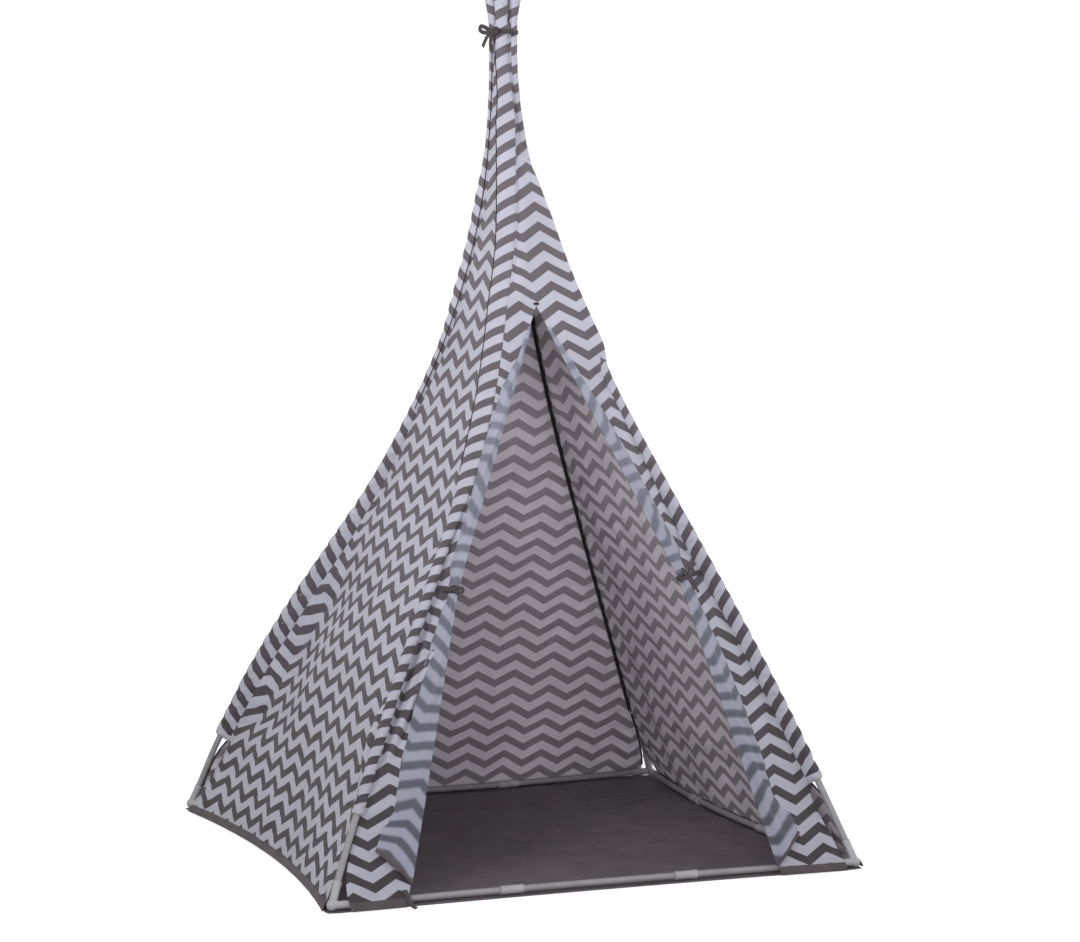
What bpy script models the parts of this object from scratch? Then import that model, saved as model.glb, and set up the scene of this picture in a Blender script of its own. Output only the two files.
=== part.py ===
# Child's play teepee: a square base ring of plastic tubes, four flexible uprights drawn together
# at the top, four cloth walls, a sleeve on each upright, a ground mat and a doorway whose two
# curtains are folded back and tied. Metres, +Z up, the doorway faces -Y, and the origin is on
# the ground under the middle of the base.

import math

import bmesh
import bpy
from mathutils import Vector

# Base ring
base_side = 1.150
side_bow = 0.045
front_bow = 0.012
tube_radius = 0.0070
tube_wall = 0.0012
joiner_wall = 0.0015
joiner_length = 0.050
tube_end_gap = 0.0010
base_sections = 3

# Corner connectors
arm_wall = 0.0022
arm_length = 0.050
socket_depth = 0.036
hub_radius = 0.0118

# Uprights
foot_lean = math.radians(26.6)
foot_pull = 0.643
neck_pull = 0.690
neck_height = 1.720
neck_reach = 0.0215
upright_top = 1.848
sway = 0.030
sway_heading = math.radians(-20.0)
neck_twist = math.radians(16.0)
twist_power = 1.5
knot_spacing = 0.100
upright_joint_heights = (0.460, 0.920, 1.380)
spigot_length = 0.028

# Cloth
cloth_thickness = 0.0020
sleeve_cloth = 0.0012
mat_thickness = 0.0015
wall_top = 1.525
hem_height = 0.0015
bow_height = 0.600
corner_notch = 0.036

# Pole sleeves
sleeve_end = 0.182
sleeve_slack = 0.0006
sleeve_half_low = 0.0125
sleeve_half_high = 0.0205
widening_start = 0.710
widening_end = 0.890
pucker_depth = 0.0018
puckers = 15
collar_top = 1.872
collar_half = 0.0150
collar_shift = 0.0055

# Doorway
apex_height = 1.183
apex_shift = -0.0063
waist_height = 0.602
waist_inset_left = 0.0374
waist_inset_right = 0.0776
door_foot_height = 0.036
foot_inset_left = 0.1218
foot_inset_right = 0.1456

# Door curtains, each folded back in an upper and a lower part
flap_thickness = 0.0030
flap_clearance = 0.0008
flap_apex_gap = 0.060
flap_waist_gap = 0.016
flap_top_width = 0.010
flap_waist_width = 0.028
flap_hem_width = 0.088
flap_fold_depth = 0.0025

# Ribbons and tapes
tie_height = 1.772
ribbon_thickness = 0.0014
ribbon_width = 0.012
knot_radius = 0.0085
tail_length = 0.055
tail_width = 0.008
tail_spread = 0.012
door_knot_radius = 0.0065
door_tail_length = 0.040
door_tail_clearance = 0.006
door_loop_length = 0.012
door_tie_slack = 0.0020
tape_width = 0.014
tape_thickness = 0.0010

# Clearances
fit_gap = 0.0003
seat_gap = 0.0005
cutter_overrun = 0.004

# Facets
tube_sides = 8
arm_sides = 12
ribbon_sides = 24

# Colours, linear
GREY_PLASTIC = (0.42, 0.42, 0.42, 1.0)
PALE_PLASTIC = (0.55, 0.55, 0.56, 1.0)
PRINT_CLOTH = (0.40, 0.37, 0.42, 1.0)
LINING_CLOTH = (0.42, 0.43, 0.52, 1.0)
MAT_CLOTH = (0.075, 0.062, 0.072, 1.0)
DARK_TAPE = (0.030, 0.026, 0.028, 1.0)

# Values that follow from the sizes above
arm_radius = tube_radius + fit_gap + arm_wall
joiner_radius = tube_radius + fit_gap + joiner_wall
frame_height = mat_thickness + fit_gap + hub_radius
corner_reach = base_side / math.sqrt(2.0)
wall_slope = math.tan(foot_lean) / math.sqrt(2.0)
hem_outset = (arm_radius + cloth_thickness) * math.hypot(1.0, wall_slope) + frame_height * wall_slope
mat_outset = hem_outset - cloth_thickness
sleeve_depth = tube_radius + sleeve_slack + sleeve_cloth
sleeve_seam = cloth_thickness / 2.0 + fit_gap
collar_start = tie_height + ribbon_width

CORNERS = ("front_left", "front_right", "back_right", "back_left")
CORNER_HEADINGS = {name: math.radians(90.0 * turn - 135.0) for turn, name in enumerate(CORNERS)}
SIDES = {
    "front": ("front_left", "front_right"),
    "right": ("front_right", "back_right"),
    "back": ("back_right", "back_left"),
    "left": ("back_left", "front_left"),
}


def clear_scene():
    for item in list(bpy.data.objects):
        bpy.data.objects.remove(item, do_unlink=True)


def make_material(name, colour, roughness):
    material = bpy.data.materials.new(name)
    material.use_nodes = True
    shader = material.node_tree.nodes["Principled BSDF"]
    shader.inputs["Base Color"].default_value = colour
    shader.inputs["Roughness"].default_value = roughness
    shader.inputs["Metallic"].default_value = 0.0
    material.diffuse_color = colour
    return material


def add_object(name, verts, faces, material, smooth=True):
    """One object from points and faces, with its faces turned outward."""
    mesh = bpy.data.meshes.new(name)
    shape = bmesh.new()
    corners = [shape.verts.new(point) for point in verts]
    for face in faces:
        shape.faces.new([corners[index] for index in face])
    bmesh.ops.recalc_face_normals(shape, faces=shape.faces)
    shape.to_mesh(mesh)
    shape.free()
    if smooth:
        mesh.shade_smooth()
        mesh.set_sharp_from_angle(angle=math.radians(40.0))
    mesh.materials.append(material)
    result = bpy.data.objects.new(name, mesh)
    bpy.context.scene.collection.objects.link(result)
    return result


def blend(first, second, share):
    return first + (second - first) * share


def smooth_share(value, start, end):
    """0 before start, 1 after end, with an even rise between them."""
    share = min(max((value - start) / (end - start), 0.0), 1.0)
    return share * share * (3.0 - 2.0 * share)


def corner_radius(flat_radius, sides):
    """Corner radius of a regular outline whose flats lie at flat_radius."""
    return flat_radius / math.cos(math.pi / sides)


# The curve of an upright

def reach_curve(share):
    """Distance from the axis and height on the upright's curve, a cubic between foot and neck."""
    points = (
        (corner_reach, 0.0),
        (corner_reach - foot_pull * math.tan(foot_lean), foot_pull),
        (neck_reach, neck_height - neck_pull),
        (neck_reach, neck_height),
    )
    rest = 1.0 - share
    weights = (rest ** 3, 3.0 * rest * rest * share, 3.0 * rest * share * share, share ** 3)
    return tuple(sum(w * p[axis] for w, p in zip(weights, points)) for axis in (0, 1))


def reach_at(height):
    """Distance of an upright from the axis at a height above the base ring."""
    if height >= neck_height:
        return neck_reach
    low, high = 0.0, 1.0
    for _ in range(40):
        middle = (low + high) / 2.0
        if reach_curve(middle)[1] < height:
            low = middle
        else:
            high = middle
    return reach_curve(low)[0]


def height_share(height):
    return min(max(height / tie_height, 0.0), 1.0)


def heading_at(corner, height):
    """The uprights wind round the axis a little as they near the tie."""
    return CORNER_HEADINGS[corner] + neck_twist * height_share(height) ** twist_power


def curve_point(corner, height):
    drift = sway * math.sin(math.pi * height_share(height)) ** 2
    heading = heading_at(corner, height)
    reach = reach_at(height - frame_height)
    return Vector((
        reach * math.cos(heading) + drift * math.cos(sway_heading),
        reach * math.sin(heading) + drift * math.sin(sway_heading),
        height,
    ))


def knot_heights(start, end, extra=()):
    """Rows between two heights: the shared knots of the upright's line, and any extra ones."""
    count = int(collar_top / knot_spacing) + 1
    knots = [index * knot_spacing for index in range(count + 1)]
    margin = knot_spacing / 20.0
    inner = [k for k in knots if start + margin < k < end - margin]
    added = [e for e in extra if start < e < end and all(abs(e - k) > margin / 10.0 for k in inner)]
    return sorted([start] + inner + added + [end])


def pole_point(corner, height):
    """Centre of the upright: straight between neighbouring knots, so that all pieces agree."""
    index = max(math.floor(height / knot_spacing), 0)
    low = max(index * knot_spacing, frame_height)
    high = (index + 1) * knot_spacing
    share = (height - low) / (high - low)
    return blend(curve_point(corner, low), curve_point(corner, high), share)


def sideways_at(corner, height):
    """Level direction along a pole's chamfer, from its left-hand wall to its right-hand one."""
    heading = heading_at(corner, height)
    return Vector((-math.sin(heading), math.cos(heading), 0.0))


def run_at(corner, height):
    """Direction of the upright at a height, upward."""
    step = knot_spacing / 2.0
    return (curve_point(corner, height + step) - curve_point(corner, height)).normalized()


def pole_frame(corner, height):
    """Sideways and outward directions square to the upright."""
    run = run_at(corner, height)
    side = sideways_at(corner, height)
    side = (side - run * side.dot(run)).normalized()
    return side, side.cross(run).normalized()


def ring_points(centre, first, second, first_radius, second_radius, sides):
    turns = [2.0 * math.pi * index / sides for index in range(sides)]
    return [
        centre + first * (first_radius * math.cos(t)) + second * (second_radius * math.sin(t))
        for t in turns
    ]


def hollow_object(name, outer_rings, inner_rings, material):
    """A tube with its own outer and inner rings, open at both ends."""
    sides = len(outer_rings[0])
    verts = [point for ring in outer_rings + inner_rings for point in ring]
    inner_start = len(outer_rings) * sides
    faces = []
    for start, rings in ((0, outer_rings), (inner_start, inner_rings)):
        for row in range(len(rings) - 1):
            for index in range(sides):
                following = (index + 1) % sides
                low = start + row * sides
                faces.append((low + index, low + following, low + sides + following, low + sides + index))
    ends = (
        (0, inner_start),
        ((len(outer_rings) - 1) * sides, inner_start + (len(inner_rings) - 1) * sides),
    )
    for outer, inner in ends:
        for index in range(sides):
            following = (index + 1) % sides
            faces.append((outer + index, outer + following, inner + following, inner + index))
    return add_object(name, verts, faces, material)


def cloth_object(name, verts, faces, thickness, material):
    """A sheet with its thickness to both sides."""
    mesh = bpy.data.meshes.new(name)
    mesh.from_pydata([tuple(point) for point in verts], [], faces)
    mesh.shade_smooth()
    mesh.materials.append(material)
    result = bpy.data.objects.new(name, mesh)
    bpy.context.scene.collection.objects.link(result)
    shell = result.modifiers.new("thickness", "SOLIDIFY")
    shell.thickness = thickness
    shell.offset = 0.0
    shell.use_even_offset = True
    return result


# Base ring

def corner_point(corner):
    heading = CORNER_HEADINGS[corner]
    return Vector((corner_reach * math.cos(heading), corner_reach * math.sin(heading), frame_height))


def side_inward(side):
    first, second = SIDES[side]
    run = (corner_point(second) - corner_point(first)).normalized()
    return Vector((-run.y, run.x, 0.0))


def side_bow_depth(side):
    return front_bow if side == "front" else side_bow


def base_point(side, share):
    """Centre of the base tube: each side is drawn inward by the cloth in a shallow arc."""
    first, second = SIDES[side]
    depth = side_bow_depth(side) * 4.0 * share * (1.0 - share)
    return blend(corner_point(first), corner_point(second), share) + side_inward(side) * depth


def base_rings(side, lengths, radius):
    """Rings round the base tube at distances from the side's first corner."""
    up = Vector((0.0, 0.0, 1.0))
    rings = []
    for length in lengths:
        share = length / base_side
        step = tube_radius / base_side
        run = (base_point(side, share + step) - base_point(side, share - step)).normalized()
        rings.append(ring_points(base_point(side, share), up.cross(run), up, radius, radius, tube_sides))
    return rings


def build_base_tubes(material):
    start = arm_length - socket_depth + fit_gap
    joints = [base_side * index / base_sections for index in range(1, base_sections)]
    for side in SIDES:
        starts = [start] + [joint + tube_end_gap / 2.0 for joint in joints]
        ends = [joint - tube_end_gap / 2.0 for joint in joints] + [base_side - start]
        for index, (low, high) in enumerate(zip(starts, ends)):
            grip_low = arm_length - start if index == 0 else joiner_length / 2.0
            grip_high = arm_length - start if index == base_sections - 1 else joiner_length / 2.0
            lengths = (low, low + grip_low, (low + high) / 2.0, high - grip_high, high)
            hollow_object(
                f"base_tube_{side}_{index + 1}",
                base_rings(side, lengths, tube_radius),
                base_rings(side, lengths, tube_radius - tube_wall),
                material,
            )


def build_base_joiners(material):
    for side in SIDES:
        for index in range(1, base_sections):
            middle = base_side * index / base_sections
            half = joiner_length / 2.0
            lengths = (middle - half, middle, middle + half)
            bore = corner_radius(tube_radius + fit_gap, tube_sides)
            hollow_object(
                f"base_joiner_{side}_{index}",
                base_rings(side, lengths, joiner_radius + bore - tube_radius),
                base_rings(side, lengths, bore),
                material,
            )


# Corner connectors

def rod_object(name, start, end, radius, sides, material):
    """A solid rod between two points."""
    run = (end - start).normalized()
    first = run.orthogonal().normalized()
    second = run.cross(first)
    verts = []
    for centre in (start, end):
        verts += ring_points(centre, first, second, radius, radius, sides)
    faces = [tuple(range(sides)), tuple(range(2 * sides - 1, sides - 1, -1))]
    for index in range(sides):
        following = (index + 1) % sides
        faces.append((index, following, sides + following, sides + index))
    return add_object(name, verts, faces, material)


def use_as_cutter(target, tool, operation):
    tool.hide_render = True
    tool.display_type = "WIRE"
    step = target.modifiers.new(tool.name, "BOOLEAN")
    step.operation = operation
    step.solver = "EXACT"
    step.object = tool


def ball_object(name, centre, radii, sides, material):
    """A ball with an even outline from pole to pole."""
    rings = sides // 2
    shape = bmesh.new()
    bmesh.ops.create_uvsphere(shape, u_segments=sides, v_segments=rings, radius=1.0)
    verts = [
        Vector((v.co.x * radii[0], v.co.y * radii[1], v.co.z * radii[2])) + centre
        for v in shape.verts
    ]
    faces = [tuple(v.index for v in face.verts) for face in shape.faces]
    shape.free()
    return add_object(name, verts, faces, material)


def connector_arms(corner):
    """Directions of a connector's three arms: two along the base ring and one up the pole."""
    centre = corner_point(corner)
    share = arm_length / base_side
    arms = []
    for side, (first, second) in SIDES.items():
        if first == corner:
            arms.append(base_point(side, share) - centre)
        if second == corner:
            arms.append(base_point(side, 1.0 - share) - centre)
    arms.append(pole_point(corner, frame_height + arm_length) - centre)
    return [arm.normalized() for arm in arms]


def build_connectors(material):
    for corner in CORNERS:
        centre = corner_point(corner)
        radii = (hub_radius, hub_radius, hub_radius)
        hub = ball_object(f"corner_connector_{corner}", centre, radii, arm_sides, material)
        tools = []
        for index, run in enumerate(connector_arms(corner)):
            tip = centre + run * arm_length
            arm = rod_object(f"arm_{corner}_{index}", centre, tip, arm_radius, arm_sides, material)
            use_as_cutter(hub, arm, "UNION")
            base = centre + run * (arm_length - socket_depth)
            bore = corner_radius(tube_radius + fit_gap, arm_sides)
            mouth = tip + run * cutter_overrun
            tools.append(rod_object(f"socket_{corner}_{index}", base, mouth, bore, arm_sides, material))
        for tool in tools:
            use_as_cutter(hub, tool, "DIFFERENCE")


# Uprights

def pole_rings(corner, heights, first_radii, second_radii, sides):
    rings = []
    for height, first_radius, second_radius in zip(heights, first_radii, second_radii):
        side, out = pole_frame(corner, height)
        rings.append(ring_points(pole_point(corner, height), side, out, first_radius, second_radius, sides))
    return rings


def build_uprights(material):
    """Each upright is four tubes; a thin spigot on each lower tube plugs into the next one."""
    bore = tube_radius - tube_wall
    spigot = bore * math.cos(math.pi / tube_sides) - fit_gap
    spigot_bore = spigot - tube_wall
    for corner in CORNERS:
        foot = frame_height + (arm_length - socket_depth + fit_gap) * math.cos(foot_lean)
        lows = (foot,) + tuple(h + tube_end_gap for h in upright_joint_heights)
        highs = upright_joint_heights + (upright_top,)
        for index, (low, high) in enumerate(zip(lows, highs)):
            heights = knot_heights(low, high)
            radii = [tube_radius] * len(heights)
            bores = [bore] * len(heights)
            outer = pole_rings(corner, heights, radii, radii, tube_sides)
            inner = pole_rings(corner, heights, bores, bores, tube_sides)
            if index < len(upright_joint_heights):
                tip = high + spigot_length
                neck = (high, tip)
                outer += pole_rings(corner, neck, (spigot, spigot), (spigot, spigot), tube_sides)
                shoulder = (high - tube_wall * 2.0, tip)
                inner = inner[:-1]
                inner += pole_rings(
                    corner, shoulder, (spigot_bore, spigot_bore), (spigot_bore, spigot_bore), tube_sides
                )
            hollow_object(f"upright_{corner}_{index + 1}", outer, inner, material)


# Pole sleeves

def sleeve_half(height):
    """Half the sleeve's width: slim and gathered below, a flat band above, slim at the neck."""
    band = blend(sleeve_half_low, sleeve_half_high, smooth_share(height, widening_start, widening_end))
    room = reach_at(height - frame_height) - sleeve_depth - seat_gap
    return min(band, room)


def pucker_rows():
    """Heights of the gathers' crests and the dips between them."""
    count = 2 * puckers
    return [sleeve_end + (widening_start - sleeve_end) * index / count for index in range(1, count + 1)]


def pucker_at(height):
    share = (height - sleeve_end) / (widening_start - sleeve_end)
    if not 0.0 < share < 1.0:
        return 0.0
    return pucker_depth * math.sin(math.pi * puckers * share) ** 2


def gather_room(height):
    """Room that the gathers need beside the sleeve, gone where it widens to a flat band."""
    return pucker_depth * (1.0 - smooth_share(height, widening_start, widening_end))


def collar_share(height):
    return smooth_share(height, collar_start, collar_top)


def build_sleeves(material):
    for corner in CORNERS:
        rows = knot_heights(sleeve_end, collar_top, pucker_rows() + [collar_start])
        inner_rows = knot_heights(sleeve_end, collar_top, (collar_start,))
        rings = {}
        for inset, heights in ((0.0, rows), (sleeve_cloth, inner_rows)):
            rings[inset] = []
            for height in heights:
                side, out = pole_frame(corner, height)
                opened = collar_share(height)
                swell = pucker_at(height) if inset == 0.0 else 0.0
                width = blend(sleeve_half(height), collar_half, opened) + swell - inset
                depth = blend(sleeve_depth, collar_half, opened) + swell - inset
                centre = pole_point(corner, height) + out * (collar_shift * opened)
                rings[inset].append(ring_points(centre, side, out, width, depth, tube_sides))
        hollow_object(f"pole_sleeve_{corner}", rings[0.0], rings[sleeve_cloth], material)


# Walls

def wall_edge(side, end, height):
    """Edge of a wall's cloth beside a pole: on the sleeve's seam, and below it swinging clear."""
    corner = SIDES[side][end]
    turn = 1.0 if end == 0 else -1.0
    seam_height = max(height, sleeve_end)
    seam_reach = sleeve_half(seam_height) + gather_room(seam_height) + sleeve_seam
    seam = sideways_at(corner, seam_height) * (turn * seam_reach)
    if height >= sleeve_end:
        return pole_point(corner, height) + seam
    run = (corner_point(SIDES[side][1]) - corner_point(SIDES[side][0])).normalized()
    hem = run * (turn * corner_notch) - side_inward(side) * hem_outset
    centre = pole_point(corner, max(height, frame_height))
    low = corner_point(corner)
    if height < frame_height:
        slope = pole_point(corner, knot_spacing) - low
        centre = low + slope * ((height - frame_height) / slope.z)
    return centre + blend(hem, seam, height / sleeve_end)


def wall_point(side, share, height):
    rise = max(1.0 - height / bow_height, 0.0)
    depth = side_bow_depth(side) * rise * rise * 4.0 * share * (1.0 - share)
    level = blend(wall_edge(side, 0, height), wall_edge(side, 1, height), share)
    return level + side_inward(side) * depth


def grid_faces(rows, columns, start=0):
    faces = []
    for row in range(rows - 1):
        for column in range(columns - 1):
            low = start + row * columns + column
            faces.append((low, low + 1, low + columns + 1, low + columns))
    return faces


def wall_heights():
    return knot_heights(hem_height, wall_top, (sleeve_end,))


def build_plain_walls(material):
    columns = 9
    heights = wall_heights()
    for side in ("right", "back", "left"):
        verts = []
        for height in heights:
            for column in range(columns):
                verts.append(wall_point(side, column / (columns - 1), height))
        faces = grid_faces(len(heights), columns)
        cloth_object(f"wall_{side}", verts, faces, cloth_thickness, material)


# Doorway

def front_width(height):
    return (wall_edge("front", 1, height) - wall_edge("front", 0, height)).length


def apex_share():
    """Place of the doorway's apex across the front wall."""
    return 0.5 + apex_shift / front_width(apex_height)


def inset_point(hand, height, inset):
    """Point of the front wall at a distance from its seam on one hand."""
    share = inset / front_width(height)
    return wall_point("front", share if hand == "left" else 1.0 - share, height)


def door_corners(hand):
    """Apex, waist and foot of one edge of the doorway; the edge is straight between them."""
    return (
        wall_point("front", apex_share(), apex_height),
        inset_point(hand, waist_height, waist_inset_left if hand == "left" else waist_inset_right),
        inset_point(hand, door_foot_height, foot_inset_left if hand == "left" else foot_inset_right),
    )


def door_edge(hand, height):
    apex, waist, foot = door_corners(hand)
    if height >= waist_height:
        return blend(waist, apex, (height - waist_height) / (apex_height - waist_height))
    return blend(foot, waist, (height - door_foot_height) / (waist_height - door_foot_height))


def build_front_wall(material):
    """One sheet with the doorway's long V between its two legs."""
    columns = 5
    extra = (sleeve_end, door_foot_height, waist_height, apex_height)
    heights = knot_heights(hem_height, wall_top, extra)
    verts = []
    index_of = {}
    for row, height in enumerate(heights):
        for hand, end in (("left", 0), ("right", 1)):
            for column in range(columns):
                share = column / (columns - 1)
                if column == columns - 1 and height >= apex_height and hand == "right":
                    index_of[row, hand, column] = index_of[row, "left", column]
                    continue
                if height < apex_height:
                    inner = door_edge(hand, height)
                else:
                    inner = wall_point("front", apex_share(), height)
                point = blend(wall_edge("front", end, height), inner, share)
                index_of[row, hand, column] = len(verts)
                verts.append(point)
    faces = []
    for row in range(len(heights) - 1):
        for hand in ("left", "right"):
            for column in range(columns - 1):
                face = (
                    index_of[row, hand, column],
                    index_of[row, hand, column + 1],
                    index_of[row + 1, hand, column + 1],
                    index_of[row + 1, hand, column],
                )
                faces.append(face if hand == "left" else face[::-1])
    cloth_object("wall_front", verts, faces, cloth_thickness, material)


def flap_frame(top, bottom, hand, height):
    """Fold line, the direction in which the cloth lies from it to the pole, and the outward normal."""
    fold = (bottom - top).normalized()
    lie = wall_edge("front", 0 if hand == "left" else 1, height) - door_edge(hand, height)
    lie = (lie - fold * lie.dot(fold)).normalized()
    normal = fold.cross(lie)
    if normal.y > 0.0:
        normal = -normal
    return fold, lie, normal


def build_flaps(material):
    """Curtains folded outward over the front wall, their hinge line on the doorway's edge."""
    columns = 5
    for hand in ("left", "right"):
        apex, waist, foot = door_corners(hand)
        parts = {
            "upper": (apex, waist, flap_apex_gap, flap_waist_gap, flap_top_width, flap_waist_width),
            "lower": (waist, foot, flap_waist_gap, 0.0, flap_waist_width, flap_hem_width),
        }
        for part, (high, low, high_gap, low_gap, high_width, low_width) in parts.items():
            run = (low - high).normalized()
            top = high.z + run.z * high_gap
            bottom = low.z - run.z * low_gap
            lift = cloth_thickness / 2.0 + flap_clearance + flap_thickness / 2.0
            lean = abs(run.x) / math.hypot(run.y, run.z)
            heights = knot_heights(bottom, top)
            verts = []
            for height in reversed(heights):
                share = (top - height) / (top - bottom)
                width = blend(high_width, low_width, share)
                fold, lie, normal = flap_frame(high, low, hand, height)
                hem_rise = width * lean if part == "lower" else 0.0
                for column in range(columns):
                    across = column / (columns - 1)
                    wave = flap_fold_depth * math.sin(math.pi * across) ** 2 * share
                    point = door_edge(hand, height) + lie * (width * across + seat_gap)
                    point -= fold * (hem_rise * across * share)
                    verts.append(point + normal * (lift + wave))
            flap = cloth_object(
                f"door_flap_{hand}_{part}",
                verts,
                grid_faces(len(heights), columns),
                flap_thickness,
                material,
            )
            hinge = bpy.data.objects.new(f"hinge_{hand}_{part}", None)
            bpy.context.scene.collection.objects.link(hinge)
            hinge.location = low
            flap.parent = hinge
            flap.matrix_parent_inverse.translation = -low


# Ribbons and tapes

def strip_object(name, centres, sideways, normals, width, thickness, material):
    """A flat band through a row of centres."""
    verts = []
    for centre, side, normal in zip(centres, sideways, normals):
        for across, lift in ((-1.0, -1.0), (1.0, -1.0), (1.0, 1.0), (-1.0, 1.0)):
            verts.append(centre + side * (across * width / 2.0) + normal * (lift * thickness / 2.0))
    last = 4 * (len(centres) - 1)
    faces = [(0, 1, 2, 3), (last + 3, last + 2, last + 1, last)]
    for row in range(len(centres) - 1):
        for index in range(4):
            following = (index + 1) % 4
            low = 4 * row
            faces.append((low + index, low + following, low + 4 + following, low + 4 + index))
    return add_object(name, verts, faces, material, smooth=False)


def build_top_tie(material):
    """Ribbon round the neck with its knot at the front left and two hanging tails."""
    up = Vector((0.0, 0.0, 1.0))
    across, ahead = Vector((1.0, 0.0, 0.0)), Vector((0.0, 1.0, 0.0))
    neck = neck_reach + sleeve_depth + seat_gap
    inner_radius = corner_radius(neck, ribbon_sides)
    outer_radius = inner_radius + ribbon_thickness
    rings = {}
    for radius in (outer_radius, inner_radius):
        rings[radius] = []
        for end in (-0.5, 0.5):
            centre = up * (tie_height + ribbon_width * end)
            rings[radius].append(ring_points(centre, across, ahead, radius, radius, ribbon_sides))
    band = hollow_object("top_tie", rings[outer_radius], rings[inner_radius], material)
    heading = CORNER_HEADINGS["front_left"] - neck_twist
    out = Vector((math.cos(heading), math.sin(heading), 0.0))
    side = Vector((-out.y, out.x, 0.0))
    centre = up * tie_height + out * (outer_radius + knot_radius / 2.0)
    radii = (knot_radius, knot_radius, ribbon_width / 2.0)
    knot = ball_object("top_tie_knot", centre, radii, tube_sides, material)
    use_as_cutter(band, knot, "UNION")
    for index, turn in enumerate((-1.0, 1.0)):
        start = centre
        middle = centre + side * (turn * tail_spread) + out * tail_spread / 2.0
        middle -= up * (tail_length / 3.0)
        end = centre + side * (turn * tail_spread * 1.5) - up * tail_length
        centres = (start, middle, end)
        tail = strip_object(
            f"top_tie_tail_{index}", centres, (side,) * 3, (out,) * 3, tail_width, ribbon_thickness, material
        )
        use_as_cutter(band, tail, "UNION")


def build_door_ties(material):
    """A ribbon round each doorway edge at the waist, with a knot on the outside.

    The left one ends in a small loop at the doorway's edge and the right one in a tail that hangs
    beyond the folded curtain, so neither is in a curtain's way.
    """
    for hand, end in (("left", 0), ("right", 1)):
        apex, waist, foot = door_corners(hand)
        fold, lie, normal = flap_frame(apex, foot, hand, waist_height)
        seam = wall_edge("front", end, waist_height)
        reach = (waist - seam).length - ribbon_width
        half = cloth_thickness / 2.0 + door_tie_slack + ribbon_thickness / 2.0
        turn_radius = half
        outline = [(reach, half), (reach / 2.0, half)]
        for index in range(5):
            angle = math.pi / 2.0 - math.pi * index / 4.0
            outline.append((-seat_gap - turn_radius * math.cos(angle), turn_radius * math.sin(angle)))
        outline += [(reach / 2.0, -half), (reach, -half)]
        centres = [waist + lie * across + normal * lift for across, lift in outline]
        normals = []
        for index, (across, lift) in enumerate(outline):
            if across >= 0.0:
                normals.append(normal * math.copysign(1.0, lift))
            else:
                normals.append((lie * (across + seat_gap) + normal * lift).normalized())
        band = strip_object(
            f"door_tie_{hand}", centres, (fold,) * len(centres), normals, ribbon_width, ribbon_thickness, material
        )
        place = waist + lie * (reach / 2.0) + normal * (half + door_knot_radius / 2.0)
        radii = (door_knot_radius, door_knot_radius, door_knot_radius)
        knot = ball_object(f"door_tie_knot_{hand}", place, radii, tube_sides, material)
        use_as_cutter(band, knot, "UNION")
        if hand == "left":
            start = waist - lie * (seat_gap + half)
            run, spread = -lie * door_loop_length, fold
        else:
            tail_place = flap_waist_width + door_tail_clearance + tail_width / 2.0
            start = waist + lie * tail_place + normal * half
            run, spread = fold * door_tail_length, lie
        tail = strip_object(
            f"door_tie_tail_{hand}",
            (start, start + run),
            (spread,) * 2,
            (normal,) * 2,
            tail_width,
            ribbon_thickness,
            material,
        )
        use_as_cutter(band, tail, "UNION")


def build_seam_tapes(material):
    """Dark tape down the inside of each corner seam."""
    for corner in CORNERS:
        rows = knot_heights(sleeve_end + tape_width, wall_top)
        centres, sideways, normals = [], [], []
        for height in rows:
            side, out = pole_frame(corner, height)
            gap = sleeve_depth + gather_room(height) + seat_gap + tape_thickness / 2.0
            centres.append(pole_point(corner, height) - out * gap)
            sideways.append(side)
            normals.append(out)
        strip_object(
            f"seam_tape_{corner}", centres, sideways, normals, tape_width, tape_thickness, material
        )


def build_mat(material):
    """Flat ground mat whose edge follows the bowed base ring, just inside the walls' hems."""
    steps = 8
    outline = []
    for side in SIDES:
        for index in range(steps):
            share = index / steps
            point = base_point(side, share) - side_inward(side) * mat_outset
            if index == 0:
                heading = CORNER_HEADINGS[SIDES[side][0]]
                corner = corner_point(SIDES[side][0])
                point = corner + Vector((math.cos(heading), math.sin(heading), 0.0)) * mat_outset
            outline.append(point)
    count = len(outline)
    verts = [Vector((p.x, p.y, level)) for level in (0.0, mat_thickness) for p in outline]
    faces = [tuple(range(count)), tuple(range(2 * count - 1, count - 1, -1))]
    for index in range(count):
        following = (index + 1) % count
        faces.append((index, following, count + following, count + index))
    add_object("floor_mat", verts, faces, material, smooth=False)


def build_teepee():
    clear_scene()
    tube = make_material("grey_tube_plastic", GREY_PLASTIC, 0.45)
    fitting = make_material("pale_fitting_plastic", PALE_PLASTIC, 0.40)
    cloth = make_material("printed_cloth", PRINT_CLOTH, 0.90)
    lining = make_material("curtain_reverse", LINING_CLOTH, 0.90)
    mat = make_material("mat_nylon", MAT_CLOTH, 0.75)
    tape = make_material("dark_ribbon", DARK_TAPE, 0.80)
    build_base_tubes(tube)
    build_base_joiners(fitting)
    build_connectors(fitting)
    build_uprights(tube)
    build_sleeves(cloth)
    build_plain_walls(cloth)
    build_front_wall(cloth)
    build_flaps(lining)
    build_top_tie(tape)
    build_door_ties(tape)
    build_seam_tapes(tape)
    build_mat(mat)


build_teepee()
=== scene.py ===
# Play teepee, dressed: chevron cloth over a tube frame, with its curtains tied back.
# Metres, +Z up, the doorway faces -Y. The camera stands to the left of the doorway.

from functools import cache, partial
from math import cos, exp, hypot, pi, radians, sin, sqrt, tan

import bmesh
import bpy
import numpy as np
from mathutils import Matrix, Vector, noise


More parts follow.
